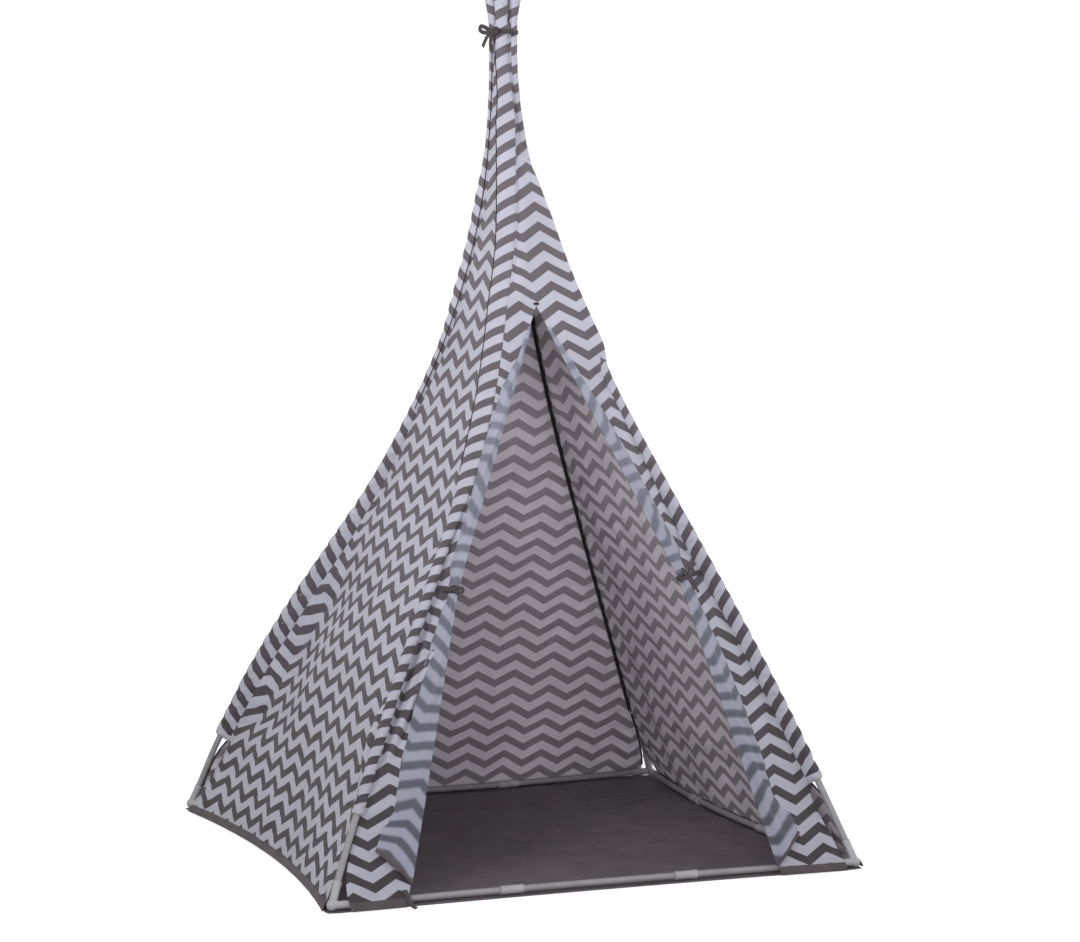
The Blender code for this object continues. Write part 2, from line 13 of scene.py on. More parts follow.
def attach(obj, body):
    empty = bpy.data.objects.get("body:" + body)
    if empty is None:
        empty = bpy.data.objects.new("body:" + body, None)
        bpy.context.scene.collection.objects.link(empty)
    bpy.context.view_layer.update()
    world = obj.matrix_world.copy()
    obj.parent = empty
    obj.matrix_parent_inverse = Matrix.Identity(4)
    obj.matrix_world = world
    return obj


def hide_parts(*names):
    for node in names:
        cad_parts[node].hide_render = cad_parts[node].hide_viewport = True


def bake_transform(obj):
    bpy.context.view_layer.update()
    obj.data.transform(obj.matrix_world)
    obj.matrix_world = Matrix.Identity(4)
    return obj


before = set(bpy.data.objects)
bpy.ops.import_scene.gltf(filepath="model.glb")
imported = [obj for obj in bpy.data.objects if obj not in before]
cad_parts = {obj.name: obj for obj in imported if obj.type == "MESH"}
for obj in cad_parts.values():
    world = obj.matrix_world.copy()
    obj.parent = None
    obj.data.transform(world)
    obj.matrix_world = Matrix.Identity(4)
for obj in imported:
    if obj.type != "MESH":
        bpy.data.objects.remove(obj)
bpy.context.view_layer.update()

# Camera of the photograph
camera_place = (-2.349, -6.626, 1.4326)
camera_azimuth = radians(-20.14)
camera_elevation = radians(5.02)
camera_roll = radians(-0.25)
focal_pixels = 3212.6
image_width = 1080.0
sensor_width = 36.0

# Base ring and fittings
base_side = 1.15
side_bow = 0.045
front_bow = 0.012
tube_radius = 0.007
tube_inset = 0.3
joiner_radius = 0.009
joiner_length = 0.05
joiner_rim = 0.0006
joiner_chamfer = 0.0006
base_sections = 3
arm_radius = 0.0095
arm_look_radius = 0.0084
arm_length = 0.05
arm_rim = 0.001
arm_rim_foot = 0.0078
arm_rim_length = 0.007
arm_chamfer = 0.0008
connector_voxel = 0.001
hub_radius = 0.0118
hub_look_radius = 0.011
mat_thickness = 0.0015
mat_back_spread = 0.008
mat_lift = 0.001
fit_gap = 0.0003

# Uprights
foot_lean = radians(26.6)
foot_pull = 0.643
neck_pull = 0.69
neck_height = 1.72
neck_reach = 0.0215
upright_top = 1.848
pole_foot_share = 0.35
sway = 0.03
sway_heading = radians(-20.0)
neck_twist = radians(16.0)
twist_power = 1.5
tie_height = 1.772

# Cloth
cloth_thickness = 0.0012
wall_top = 1.79
hem_height = 0.0015
bow_height = 0.6
hem_band_height = 0.019
hem_band_thickness = 0.0034
hem_band_lift = 0.0007
middle_seam_spare = 0.02
neck_valley = 0.003

# Pole sleeves
sleeve_end = 0.182
sleeve_depth = 0.0088
pinch_half = 0.0094
scallop_pitch = 0.041
collar_top = 1.872
collar_start = 1.784
collar_half = 0.015
collar_shift = 0.0055
sleeve_hem_height = 0.013
sleeve_hem_start = 0.0006
sleeve_hem_lift = 0.0009
sleeve_hem_bulge = 0.0006
seam_line_radius = 0.0011
seam_line_seat = 0.0014
seam_line_lift = 0.001
seam_line_end_gap = 0.06

# Doorway
apex_height = 1.183
waist_height = 0.602
door_foot_height = 0.036

# Curtains
flap_thickness = 0.0011
flap_lift = 0.0036
flap_bulge = 0.0075
flap_roll = 0.16
flap_edge_roll = 0.0028
flap_apex_gap = 0.055
flap_waist_gap = 0.0085
flap_pinch_reach = 0.045
flap_hem_band = 0.007
flap_hem_thickness = 0.0026
flap_hem_drop = 0.0008
flap_unfolded_roll = 0.006

# Ribbons and tapes
ribbon_thickness = 0.0012
ribbon_width = 0.011
door_knot_radius = 0.006
door_end_width = 0.0075
door_end_thickness = 0.0011
neck_ribbon_width = 0.009
neck_ribbon_thickness = 0.0013
neck_ribbon_lift = 0.0022
neck_ribbon_wave = 0.0016
neck_knot_radius = 0.0068
neck_end_thickness = 0.0012
bow_turn = radians(20.0)
tape_width = 0.009
tape_thickness = 0.0008
tape_branch_height = 0.175
tape_branch_overlap = 0.006
tape_foot = 0.03
tape_end_gap = 0.2
trim_lift = 0.0022
bar_tack_half = 0.006
strap_width = 0.011
strap_thickness = 0.0016

# Chevron print
chevron_period = 0.0945
chevron_pitch = 0.044
chevron_rise = 0.0272
ink_share = 0.47
neck_print_shift = 0.028
sleeve_print_stretch = 1.06
sleeve_print_step = 0.013
print_softness = 0.0006
# Painted shade: at the ground, the ink, the inside's ink and the pale cloth keep these shares of their
# colour, and the print darkens towards the bottom
ink_painted_shade_share = 0.32
inside_ink_painted_shade_share = 0.56
light_painted_shade_share = 0.74
see_through = 0.8
see_through_depth = 0.0022

# Colours, linear
LIGHT_CLOTH = (0.595, 0.588, 0.685, 1.0)
INK = (0.182, 0.157, 0.18, 1.0)
# Inside face: the pale ink is the print showing through the cloth; both colours are also painted paler than
# the outer face's, as painted light for light shining through the cloth
LIGHT_INSIDE_PAINTED_LIT = (0.945, 0.885, 0.955, 1.0)
INK_SHOW_THROUGH_PAINTED_LIT = (0.56, 0.5, 0.55, 1.0)
LIGHT_REVERSE = (0.47, 0.476, 0.58, 1.0)
INK_REVERSE = (0.3, 0.305, 0.385, 1.0)
HEM_CLOTH = (0.085, 0.068, 0.074, 1.0)
MAT_CLOTH = (0.084, 0.062, 0.08, 1.0)
BLACK_TAPE = (0.018, 0.015, 0.016, 1.0)
DARK_RIBBON = (0.06, 0.05, 0.054, 1.0)
GREY_PLASTIC = (0.27, 0.262, 0.275, 1.0)
PALE_PLASTIC = (0.37, 0.362, 0.38, 1.0)
PALE_HEM = (0.42, 0.415, 0.48, 1.0)
WHITE = (1.0, 1.0, 1.0, 1.0)

# Light: distant lamps (azimuth, elevation and spread in degrees, strength) and one soft box by the neck
world_strength = 0.43
floor_glow = 0.72
LAMPS = {
    "front": (-8.0, 11.0, 26.0, 0.6),
    "corner": (-34.0, 10.0, 30.0, 0.62),
    "side": (78.0, 24.0, 40.0, 0.85),
    "back": (160.0, 32.0, 60.0, 0.75),
}
box_place = (-1.9, -1.6, 2.9)
box_aim = (0.0, 0.0, 1.25)
box_size = 1.0
box_power = 36.0

# Detail counts
tube_sides = 24
tube_steps = 14
pole_steps = 120
seam_line_sides = 10
wall_columns = 97
wall_rows = 190
leg_columns = 49
sleeve_sides = 28
sleeve_rows = 320
sleeve_hem_steps = 6
flap_columns = 21
flap_rows = 90
mat_steps = 121
knot_rings = 14
knot_sides = 22
neck_ribbon_sides = 72
tape_steps = 140
tape_branch_steps = 40

frame_height = mat_thickness + fit_gap + hub_radius
corner_reach = base_side / sqrt(2.0)
wall_slope = tan(foot_lean) / sqrt(2.0)
hem_outset = (arm_radius + 0.002) * hypot(1.0, wall_slope) + frame_height * wall_slope
mat_outset = hem_outset - 0.002

# Each corner's cloth by height. A sleeve is a loop round its pole: OUTER and INNER are how far it reaches
# outward and inward from the pole, WIDTHS its half width, GATHERS how strongly it is scalloped.
OUTER = {
    "front_left": ((0.18, 0.01), (0.75, 0.01), (0.92, 0.0088)),
    "front_right": ((0.18, 0.0128), (0.98, 0.01), (1.15, 0.0205), (1.34, 0.019), (1.5, 0.0095),
                    (1.7, 0.0086)),
    "back_right": ((0.18, 0.0105), (1.5, 0.0095), (1.7, 0.0088)),
    "back_left": ((0.18, 0.015), (0.45, 0.0185), (0.62, 0.015), (0.85, 0.0105), (1.08, 0.0105), (1.22, 0.019),
                  (1.38, 0.019), (1.54, 0.0095), (1.7, 0.0088)),
}
INNER = {
    "front_left": ((0.18, 0.019), (0.66, 0.018), (0.88, 0.0088)),
    "front_right": ((0.18, 0.026), (0.66, 0.0265), (0.88, 0.014), (1.0, 0.0095), (1.7, 0.0088)),
    "back_right": ((0.18, 0.024), (0.9, 0.024), (1.3, 0.014), (1.55, 0.0088)),
    "back_left": ((0.18, 0.031), (0.62, 0.031), (0.78, 0.023), (0.92, 0.015), (1.4, 0.012), (1.6, 0.0088)),
}
WIDTHS = {
    "front_left": ((0.18, 0.0108), (0.68, 0.0108), (0.88, 0.0208)),
    "front_right": ((0.18, 0.0125), (0.98, 0.012), (1.18, 0.0092)),
    "back_right": ((0.18, 0.0125), (1.7, 0.0115)),
    "back_left": ((0.18, 0.013), (1.7, 0.0115)),
}
GATHERS = {
    "front_left": ((0.18, 1.0), (0.68, 1.0), (0.88, 0.12)),
    "front_right": ((0.18, 1.0), (0.8, 0.9), (1.1, 0.3), (1.7, 0.15)),
    "back_right": ((0.18, 1.0), (0.8, 0.9), (1.4, 0.3), (1.7, 0.15)),
    "back_left": ((0.18, 0.9), (0.6, 1.0), (1.3, 1.0), (1.55, 0.35), (1.75, 0.2)),
}

# How far the dressed pole stands outward and sideways of its rest line
OUT_SHIFTS = {"back_left": ((0.04, 0.0), (0.18, 0.0075), (0.34, 0.012), (0.52, 0.011), (0.78, 0.0))}
SIDE_SHIFTS = {"front_left": ((0.18, 0.0), (0.3, -0.004), (0.46, -0.01), (0.64, -0.01), (0.86, 0.0),
                              (1.15, 0.0), (1.34, 0.009), (1.6, 0.008), (1.74, 0.0))}

# Walls that lie over a sleeve where their share is 0, instead of hanging from its inner seam: share, seat
OVERLAPS = {("front", "front_right"): (
    ((0.92, 1.0), (1.06, 0.0), (1.44, 0.0), (1.56, 1.0)),
    ((1.0, 0.0), (1.11, -0.0285), (1.34, -0.0268), (1.5, -0.016), (1.7, -0.0148)),
)}

# Place of the print across each sleeve, in periods
SLEEVE_PRINT = {"front_left": 0.75, "front_right": -0.02, "back_right": 0.0, "back_left": 0.0}

# Where the print lies on each wall: across at hem and top, along at hem and top, slope, gathering
PRINT_PLACES = {
    "left": (-0.0435, -0.028, -0.0195, -0.0215, -0.015, 0.19),
    "back": (0.0843, 0.0843, -0.0146, -0.024, -0.03, 0.0),
    "right": (-0.0715, -0.069, -0.0418, -0.0418, 0.034, 0.0),
    "front_left": (-0.0375, -0.0375, -0.0294, -0.0015, 0.0, 0.0),
    "front_right": (-0.0375, -0.0375, -0.0113, -0.0015, 0.0, 0.0),
}

# Walls' lower corners: gap along the ring, share of the hem's outset, bulge of the cut, how late it opens
CORNER_CUTS = {
    ("left", "back_left"): (0.042, 0.6, 0.4, 1.0),
    ("back", "back_left"): (0.01, 1.0, -0.6, 1.0),
    ("left", "front_left"): (0.014, 0.7, 0.0, 1.0),
    ("front", "front_left"): (0.044, 1.0, 0.0, 3.6),
    ("front", "front_right"): (0.03, 1.0, 0.35, 1.0),
    ("right", "front_right"): (0.01, 1.0, -0.6, 1.0),
    ("right", "back_right"): (0.02, 1.0, 0.0, 3.0),
    ("back", "back_right"): (0.02, 1.0, 0.0, 3.0),
}

# Curtains: width by height, how far the hem's fold end hangs below the doorway's foot, rise of its outer end
FLAP_WIDTHS = {
    "left": ((0.03, 0.081), (0.095, 0.078), (0.13, 0.064), (0.17, 0.057), (0.25, 0.058), (0.345, 0.051),
             (0.44, 0.044), (0.488, 0.035), (0.545, 0.027), (0.592, 0.0165), (0.615, 0.019), (0.65, 0.027),
             (0.7, 0.027), (0.78, 0.0245), (0.87, 0.029), (0.95, 0.025), (1.0, 0.024), (1.03, 0.017),
             (1.08, 0.0065), (1.14, 0.0045)),
    "right": ((0.02, 0.07), (0.065, 0.067), (0.11, 0.051), (0.15, 0.046), (0.19, 0.049), (0.25, 0.055),
              (0.31, 0.051), (0.39, 0.048), (0.45, 0.044), (0.51, 0.036), (0.56, 0.031), (0.6, 0.02),
              (0.625, 0.03), (0.66, 0.048), (0.71, 0.045), (0.8, 0.044), (0.87, 0.041), (0.925, 0.034),
              (0.98, 0.026), (1.03, 0.02), (1.085, 0.0115), (1.13, 0.0045)),
}
FLAP_HEMS = {"left": (-0.01, 0.05), "right": (0.017, 0.054)}

# Doorway: apex, then the waist and foot on each hand
APEX = (0.03106, -0.11516, 1.183)
WAISTS = {"left": (-0.23504, -0.35762, 0.602), "right": (0.27515, -0.3294, 0.602)}
FEET = {"left": (-0.41304, -0.57887, 0.036), "right": (0.39097, -0.57728, 0.036)}

# Loops and tails of the ribbons, from their knot: along the ribbon, down (at the neck up), outward
RIBBON_ENDS = {
    "left": [
        [(0.0, 0.0, 0.0), (-0.01, -0.004, 0.002), (-0.02, -0.003, 0.001), (-0.019, 0.005, 0.0),
         (-0.009, 0.005, 0.001), (0.0, 0.001, 0.001)],
    ],
    "right": [
        [(0.0, 0.0, 0.0), (-0.012, 0.004, 0.003), (-0.022, 0.006, 0.002), (-0.031, 0.01, 0.0)],
        [(0.0, 0.002, 0.0), (0.004, 0.014, 0.004), (0.003, 0.028, 0.004), (0.006, 0.043, 0.003)],
        [(0.0, -0.002, 0.0), (0.008, -0.01, 0.004), (0.018, -0.012, 0.003), (0.016, -0.003, 0.002),
         (0.005, 0.0, 0.002)],
        [(0.0, -0.001, 0.0), (-0.005, -0.01, 0.004), (-0.014, -0.014, 0.004), (-0.012, -0.005, 0.003),
         (-0.002, 0.0, 0.002)],
    ],
    "neck": [
        [(0.0, 0.0, 0.0), (-0.012, 0.008, 0.006), (-0.026, 0.012, 0.008), (-0.03, 0.004, 0.007),
         (-0.018, -0.002, 0.005), (-0.002, 0.0, 0.002)],
        [(0.0, 0.0, 0.0), (-0.008, -0.01, 0.006), (-0.016, -0.022, 0.007), (-0.024, -0.032, 0.005)],
        [(0.0, 0.0, 0.0), (0.01, 0.006, 0.004), (0.02, 0.004, 0.002), (0.014, -0.003, 0.003),
         (0.002, 0.0, 0.002)],
        [(0.0, 0.0, 0.0), (0.002, -0.012, 0.005), (-0.001, -0.028, 0.004), (0.004, -0.045, 0.003)],
    ],
}

HANDS = ("left", "right")
CORNERS = ("front_left", "front_right", "back_right", "back_left")
CORNER_HEADINGS = {name: radians(90.0 * turn - 135.0) for turn, name in enumerate(CORNERS)}
SIDES = {
    "front": ("front_left", "front_right"),
    "right": ("front_right", "back_right"),
    "back": ("back_right", "back_left"),
    "left": ("back_left", "front_left"),
}
UP = Vector((0.0, 0.0, 1.0))
FULL_TURN = 2.0 * pi


def blend(first, second, share):
    return first + (second - first) * share


def smooth_share(value, start, end):
    """0 before start, 1 after end, with an even rise between them."""
    share = min(max((value - start) / (end - start), 0.0), 1.0)
    return share * share * (3.0 - 2.0 * share)


def hump(value, start, middle, end):
    """0 outside start and end, 1 at the middle."""
    return smooth_share(value, start, middle) * (1.0 - smooth_share(value, middle, end))


def bell(value, middle, spread):
    """1 at the middle, falling away on both sides."""
    return exp(-(((value - middle) / spread) ** 2))


def by_height(marks, height):
    """Value between the marks (height, value), with an even rise from each one to the next."""
    if height <= marks[0][0]:
        return marks[0][1]
    for (low, first), (high, second) in zip(marks, marks[1:]):
        if height < high:
            return blend(first, second, smooth_share(height, low, high))
    return marks[-1][1]


def soft_noise(x, y, seed):
    return noise.noise(Vector((x, y, seed)))


def polar(heading, reach=1.0):
    return Vector((reach * cos(heading), reach * sin(heading), 0.0))


def lengths_along(points):
    """Distance along a path at each of its points."""
    total = [0.0]
    for low, high in zip(points, points[1:]):
        total.append(total[-1] + (high - low).length)
    return total


# The curve of an upright

def reach_curve(share):
    points = (
        (corner_reach, 0.0),
        (corner_reach - foot_pull * tan(foot_lean), foot_pull),
        (neck_reach, neck_height - neck_pull),
        (neck_reach, neck_height),
    )
    rest = 1.0 - share
    weights = (rest ** 3, 3.0 * rest * rest * share, 3.0 * rest * share * share, share ** 3)
    return tuple(sum(w * p[axis] for w, p in zip(weights, points)) for axis in (0, 1))


@cache
def reach_at(height):
    """Distance of an upright from the axis at a height above the base ring."""
    if height >= neck_height:
        return neck_reach
    low, high = 0.0, 1.0
    for _ in range(40):
        middle = (low + high) / 2.0
        if reach_curve(middle)[1] < height:
            low = middle
        else:
            high = middle
    return reach_curve(low)[0]


def height_share(height):
    return min(max(height / tie_height, 0.0), 1.0)


@cache
def heading_at(corner, height):
    return CORNER_HEADINGS[corner] + neck_twist * height_share(height) ** twist_power


@cache
def pole_point(corner, height):
    """Centre of the upright at a height above the ground."""
    drift = sway * sin(pi * height_share(height)) ** 2
    heading = heading_at(corner, height)
    reach = reach_at(height - frame_height)
    return Vector((
        reach * cos(heading) + drift * cos(sway_heading),
        reach * sin(heading) + drift * sin(sway_heading),
        height,
    ))


@cache
def sideways_at(corner, height):
    heading = heading_at(corner, height)
    return Vector((-sin(heading), cos(heading), 0.0))


@cache
def pole_frame(corner, height):
    """Sideways and outward directions square to the upright."""
    run = (pole_point(corner, height + tube_radius) - pole_point(corner, height)).normalized()
    side = sideways_at(corner, height)
    side = (side - run * side.dot(run)).normalized()
    return side, side.cross(run).normalized()


# Base ring

@cache
def corner_point(corner):
    return polar(CORNER_HEADINGS[corner], corner_reach) + UP * frame_height


def side_run(side):
    first, second = SIDES[side]
    return (corner_point(second) - corner_point(first)).normalized()


@cache
def side_inward(side):
    run = side_run(side)
    return Vector((-run.y, run.x, 0.0))


def side_bow_depth(side):
    return front_bow if side == "front" else side_bow


def base_point(side, share):
    first, second = SIDES[side]
    depth = side_bow_depth(side) * 4.0 * share * (1.0 - share)
    return blend(corner_point(first), corner_point(second), share) + side_inward(side) * depth


# Walls' outline

@cache
def sleeve_size(corner, height):
    """Reach outward, reach inward, half width and gathering of the sleeve's loop."""
    room = reach_at(height - frame_height)
    width = min(by_height(WIDTHS[corner], height), room - sleeve_depth)
    inner = min(by_height(INNER[corner], height), room - 0.004)
    return by_height(OUTER[corner], height), inner, width, by_height(GATHERS[corner], height)


@cache
def dressed_point(corner, height):
    """The pole's centre as the cloth holds it."""
    still = ((0.0, 0.0),)
    shift = polar(heading_at(corner, height)) * by_height(OUT_SHIFTS.get(corner, still), height)
    shift += sideways_at(corner, height) * by_height(SIDE_SHIFTS.get(corner, still), height)
    return pole_point(corner, height) + shift


@cache
def level_offset(corner, height, outward, sideways):
    """A place beside the pole, measured square to it and brought back to the same height."""
    side, out = pole_frame(corner, height)
    run = out.cross(side)
    offset = out * outward + side * sideways
    return offset - run * (offset.z / run.z)


@cache
def seam_offset(side, corner, turn, height):
    """From the pole's centre to the seam where the wall meets the sleeve."""
    _, inner, width, _ = sleeve_size(corner, height)
    flat = 1.0 - min(max((inner - sleeve_depth) / 0.006, 0.0), 1.0)
    seat = -blend(inner - 0.0055, 0.0, flat)
    spread = blend(0.003, width - 0.0012, flat)
    if (side, corner) in OVERLAPS:
        under, seats = OVERLAPS[(side, corner)]
        share = 1.0 - by_height(under, height)
        seat = blend(seat, -by_height(seats, height), share)
        spread = blend(spread, 0.0, share)
    return level_offset(corner, height, seat, turn * spread)


@cache
def wall_edge(side, end, height):
    """Edge of a wall's cloth beside a pole: at the sleeve's seam, and below it swinging out to the ring."""
    corner = SIDES[side][end]
    turn = 1.0 if end == 0 else -1.0
    if height >= sleeve_end:
        return dressed_point(corner, height) + seam_offset(side, corner, turn, height)
    seam = dressed_point(corner, sleeve_end) - pole_point(corner, sleeve_end)
    seam = seam + seam_offset(side, corner, turn, sleeve_end)
    notch, outset, bulge, delay = CORNER_CUTS[(side, corner)]
    hem = side_run(side) * (turn * notch) - side_inward(side) * (hem_outset * outset)
    share = height / sleeve_end
    low = corner_point(corner)
    slope = pole_point(corner, sleeve_end) - low
    centre = low + slope * ((height - frame_height) / slope.z)
    seam_share = share + bulge * sin(pi * share * share)
    return centre + seam * seam_share + hem * (1.0 - share) ** delay


def wall_width(side, height):
    return (wall_edge(side, 1, height) - wall_edge(side, 0, height)).length


def wall_point(side, share, height):
    rise = max(1.0 - height / bow_height, 0.0)
    depth = side_bow_depth(side) * rise * rise * 4.0 * share * (1.0 - share)
    level = blend(wall_edge(side, 0, height), wall_edge(side, 1, height), share)
    return level + side_inward(side) * depth


# Doorway

@cache
def middle_point(height):
    """The seam of the two front halves above the doorway."""
    left, right = wall_edge("front", 0, apex_height), wall_edge("front", 1, apex_height)
    run = right - left
    share = (Vector(APEX) - left).dot(run) / run.length_squared
    off = Vector(APEX) - left - run * share
    level = blend(wall_edge("front", 0, height), wall_edge("front", 1, height), share)
    return level + off * (1.0 - smooth_share(height, apex_height, apex_height + 0.25))


@cache
def door_edge(hand, height):
    waist = Vector(WAISTS[hand])
    if height >= waist_height:
        return blend(waist, Vector(APEX), (height - waist_height) / (apex_height - waist_height))
    return blend(Vector(FEET[hand]), waist, (height - door_foot_height) / (waist_height - door_foot_height))


# Materials

def feed(tree, node, inputs):
    """Links or sets a node's inputs."""
    for slot, value in inputs.items():
        if isinstance(value, bpy.types.NodeSocket):
            tree.links.new(value, node.inputs[slot])
        else:
            node.inputs[slot].default_value = value


def add_node(tree, kind, inputs, output=0, **settings):
    """A new node with its settings and inputs, and the output that it is used for."""
    node = tree.nodes.new("ShaderNode" + kind)
    for name, value in settings.items():
        setattr(node, name, value)
    feed(tree, node, inputs)
    return node.outputs[output]


def math_node(tree, operation, first, second=0.5):
    return add_node(tree, "Math", {0: first, 1: second}, operation=operation)


def mix_colour(tree, factor, first, second, mode="MIX"):
    return add_node(tree, "Mix", {0: factor, 6: first, 7: second}, 2, data_type="RGBA", blend_type=mode)


def map_range(tree, value, low, high, new_low=0.0, new_high=1.0):
    return add_node(tree, "MapRange", dict(enumerate((value, low, high, new_low, new_high))))


def noise_value(tree, vector, scale, detail=2.0):
    return add_node(tree, "TexNoise", {"Vector": vector, "Scale": scale, "Detail": detail})


def noise_range(tree, vector, scale, detail, low, high, start=0.3, end=0.7):
    """Noise whose middle range is spread from low to high."""
    return map_range(tree, noise_value(tree, vector, scale, detail), start, end, low, high)


def bump_node(tree, height, strength, distance):
    return add_node(tree, "Bump", {"Strength": strength, "Distance": distance, "Height": height})


def split(tree, vector):
    node = tree.nodes.new("ShaderNodeSeparateXYZ")
    tree.links.new(vector, node.inputs[0])
    return node.outputs


def flat_vector(tree):
    """The cloth's own flat coordinates, in metres."""
    return add_node(tree, "UVMap", {}, uv_map="flat")


def place_vector(tree):
    return add_node(tree, "TexCoord", {}, "Object")


def scaled(colour, share):
    return tuple(min(channel * share, 1.0) for channel in colour[:3]) + (1.0,)


def new_material(name, roughness, sheen=0.0, specular=0.3):
    material = bpy.data.materials.new(name)
    material.use_nodes = True
    tree = material.node_tree
    shader = tree.nodes["Principled BSDF"]
    feed(tree, shader, {"Roughness": roughness, "Specular IOR Level": specular, "Sheen Weight": sheen,
                        "Sheen Roughness": 0.5})
    return material, tree, shader


def weave_bump(tree, vector, thread, strength, extra=None):
    """Two crossing sets of threads, as a fine bump."""
    across, along, _ = split(tree, vector)
    turns = FULL_TURN / thread
    warp, weft = (math_node(tree, "SINE", math_node(tree, "MULTIPLY", way, turns)) for way in (across, along))
    slub = math_node(tree, "MULTIPLY", noise_value(tree, vector, 220.0), 1.5)
    height = math_node(tree, "ADD", math_node(tree, "MULTIPLY", warp, weft), slub)
    if extra is not None:
        height = math_node(tree, "ADD", height, extra)
    return bump_node(tree, height, strength, 0.0004)


def chevron_mask(tree, vector, blur):
    """1 on the ink of a chevron print in flat coordinates, 0 on the pale cloth."""
    across, along, _ = split(tree, vector)
    wobble = math_node(tree, "SUBTRACT", noise_value(tree, vector, 9.0), 0.5)
    across = math_node(tree, "ADD", across, math_node(tree, "MULTIPLY", wobble, 0.005))
    zigzag = math_node(tree, "PINGPONG", across, chevron_period / 2.0)
    zigzag = math_node(tree, "MULTIPLY", zigzag, chevron_rise / (chevron_period / 2.0))
    row = math_node(tree, "PINGPONG", math_node(tree, "ADD", along, zigzag), chevron_pitch / 2.0)
    edge = ink_share * chevron_pitch / 2.0
    return map_range(tree, row, edge + blur, edge - blur)


def printed_cloth(name, light, ink, variation=0.1, sheen=0.06, blur=print_softness, painted_ink_shade=ink_painted_shade_share):
    """Chevron print; its colours are painted darker towards the ground, as painted shade for light that falls
    from above.
    """
    material, tree, shader = new_material(name, 0.88, sheen)
    vector = flat_vector(tree)
    # Painted shade: the colours darken from 1.25 m down to the ground
    rise = map_range(tree, split(tree, place_vector(tree))[2], 0.05, 1.25)
    tones = [
        mix_colour(tree, rise, scaled(tone, share), tone)
        for tone, share in ((light, light_painted_shade_share), (ink, painted_ink_shade))
    ]
    colour = mix_colour(tree, chevron_mask(tree, vector, blur), *tones)
    patches = noise_range(tree, vector, 5.0, 4.0, 1.0 - variation, 1.0)
    grain = noise_range(tree, vector, 700.0, 1.0, 0.95, 1.03)
    tone = math_node(tree, "MULTIPLY", patches, grain)
    shade = add_node(tree, "CombineColor", {0: tone, 1: tone, 2: tone})
    feed(tree, shader, {
        "Base Color": mix_colour(tree, 1.0, colour, shade, "MULTIPLY"),
        "Roughness": noise_range(tree, vector, 60.0, 2.0, 0.82, 0.94),
        "Normal": weave_bump(tree, vector, 0.0011, 0.35),
        "Subsurface Weight": see_through,
        "Subsurface Scale": see_through_depth,
        "Subsurface Radius": (1.0, 1.0, 1.0),
    })
    return material


def plain_cloth(name, colour, thread=0.0012, variation=0.25, roughness=0.85, sheen=0.1, wrinkles=0.0):
    material, tree, shader = new_material(name, roughness, sheen)
    vector = flat_vector(tree)
    tone = noise_range(tree, vector, 14.0, 6.0, 0.0, 1.0)
    dark, pale = scaled(colour, 1.0 - variation), scaled(colour, 1.0 + variation)
    extra = None
    if wrinkles > 0.0:
        extra = math_node(tree, "MULTIPLY", noise_value(tree, vector, 11.0, 5.0), wrinkles)
    feed(tree, shader, {
        "Base Color": mix_colour(tree, tone, dark, pale),
        "Roughness": noise_range(tree, vector, 40.0, 2.0, roughness - 0.08, roughness + 0.06),
        "Normal": weave_bump(tree, vector, thread, 0.4, extra),
    })
    return material


def moulded_plastic(name, colour, roughness):
    material, tree, shader = new_material(name, roughness, specular=0.5)
    vector = place_vector(tree)
    tone = noise_range(tree, vector, 30.0, 5.0, 0.0, 1.0, 0.35, 0.65)
    feed(tree, shader, {
        "Base Color": mix_colour(tree, tone, scaled(colour, 0.9), colour),
        "Roughness": noise_range(tree, vector, 90.0, 6.0, roughness, roughness + 0.25, 0.45, 0.75),
        "Normal": bump_node(tree, noise_value(tree, vector, 500.0), 0.12, 0.0003),
    })
    return material


def print_place(part, u, v):
    """Flat coordinates moved so that the print's rows fall where they do on that wall."""
    low_u, top_u, low_v, top_v, slope, gather = PRINT_PLACES[part]
    rise = smooth_share(v, 0.1, 1.05)
    across = u * (1.0 + gather * rise) + blend(low_u, top_u, rise)
    if part.startswith("front"):
        across += neck_print_shift * smooth_share(v, 1.15, 1.48)
    return across, v + slope * u + blend(low_v, top_v, smooth_share(v, 0.2, 1.2))


# Mesh building

def finish_mesh(name, verts, faces, flats, slots, materials, smooth_angle=50.0):
    """One object from its faces; flats holds each face corner's place on the flat cloth."""
    mesh = bpy.data.meshes.new(name)
    mesh.from_pydata([tuple(v) for v in verts], [], faces)
    layer = mesh.uv_layers.new(name="flat")
    layer.data.foreach_set("uv", np.asarray(flats, dtype=np.float32).ravel())
    for material in materials:
        mesh.materials.append(material)
    mesh.polygons.foreach_set("material_index", np.asarray(slots, dtype=np.int32))
    mesh.shade_smooth()
    mesh.set_sharp_from_angle(angle=radians(smooth_angle))
    mesh.update()
    return link_object(name, mesh)


def link_object(name, data):
    item = bpy.data.objects.new(name, data)
    bpy.context.scene.collection.objects.link(item)
    return item


def settle(piece, slot, *nodes):
    """The CAD nodes that a piece stands for, its slot, which is not used, and its body."""
    if nodes:
        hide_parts(*nodes)
    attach(piece, "tent")
    return piece


def grid_normals(points, ring=False):
    """Unit normals of a grid of points, along column direction x row direction."""
    if ring:
        along_columns = np.roll(points, -1, axis=1) - np.roll(points, 1, axis=1)
    else:
        along_columns = np.gradient(points, axis=1)
    normals = np.cross(along_columns, np.gradient(points, axis=0))
    return normals / np.maximum(np.linalg.norm(normals, axis=2, keepdims=True), 1e-9)


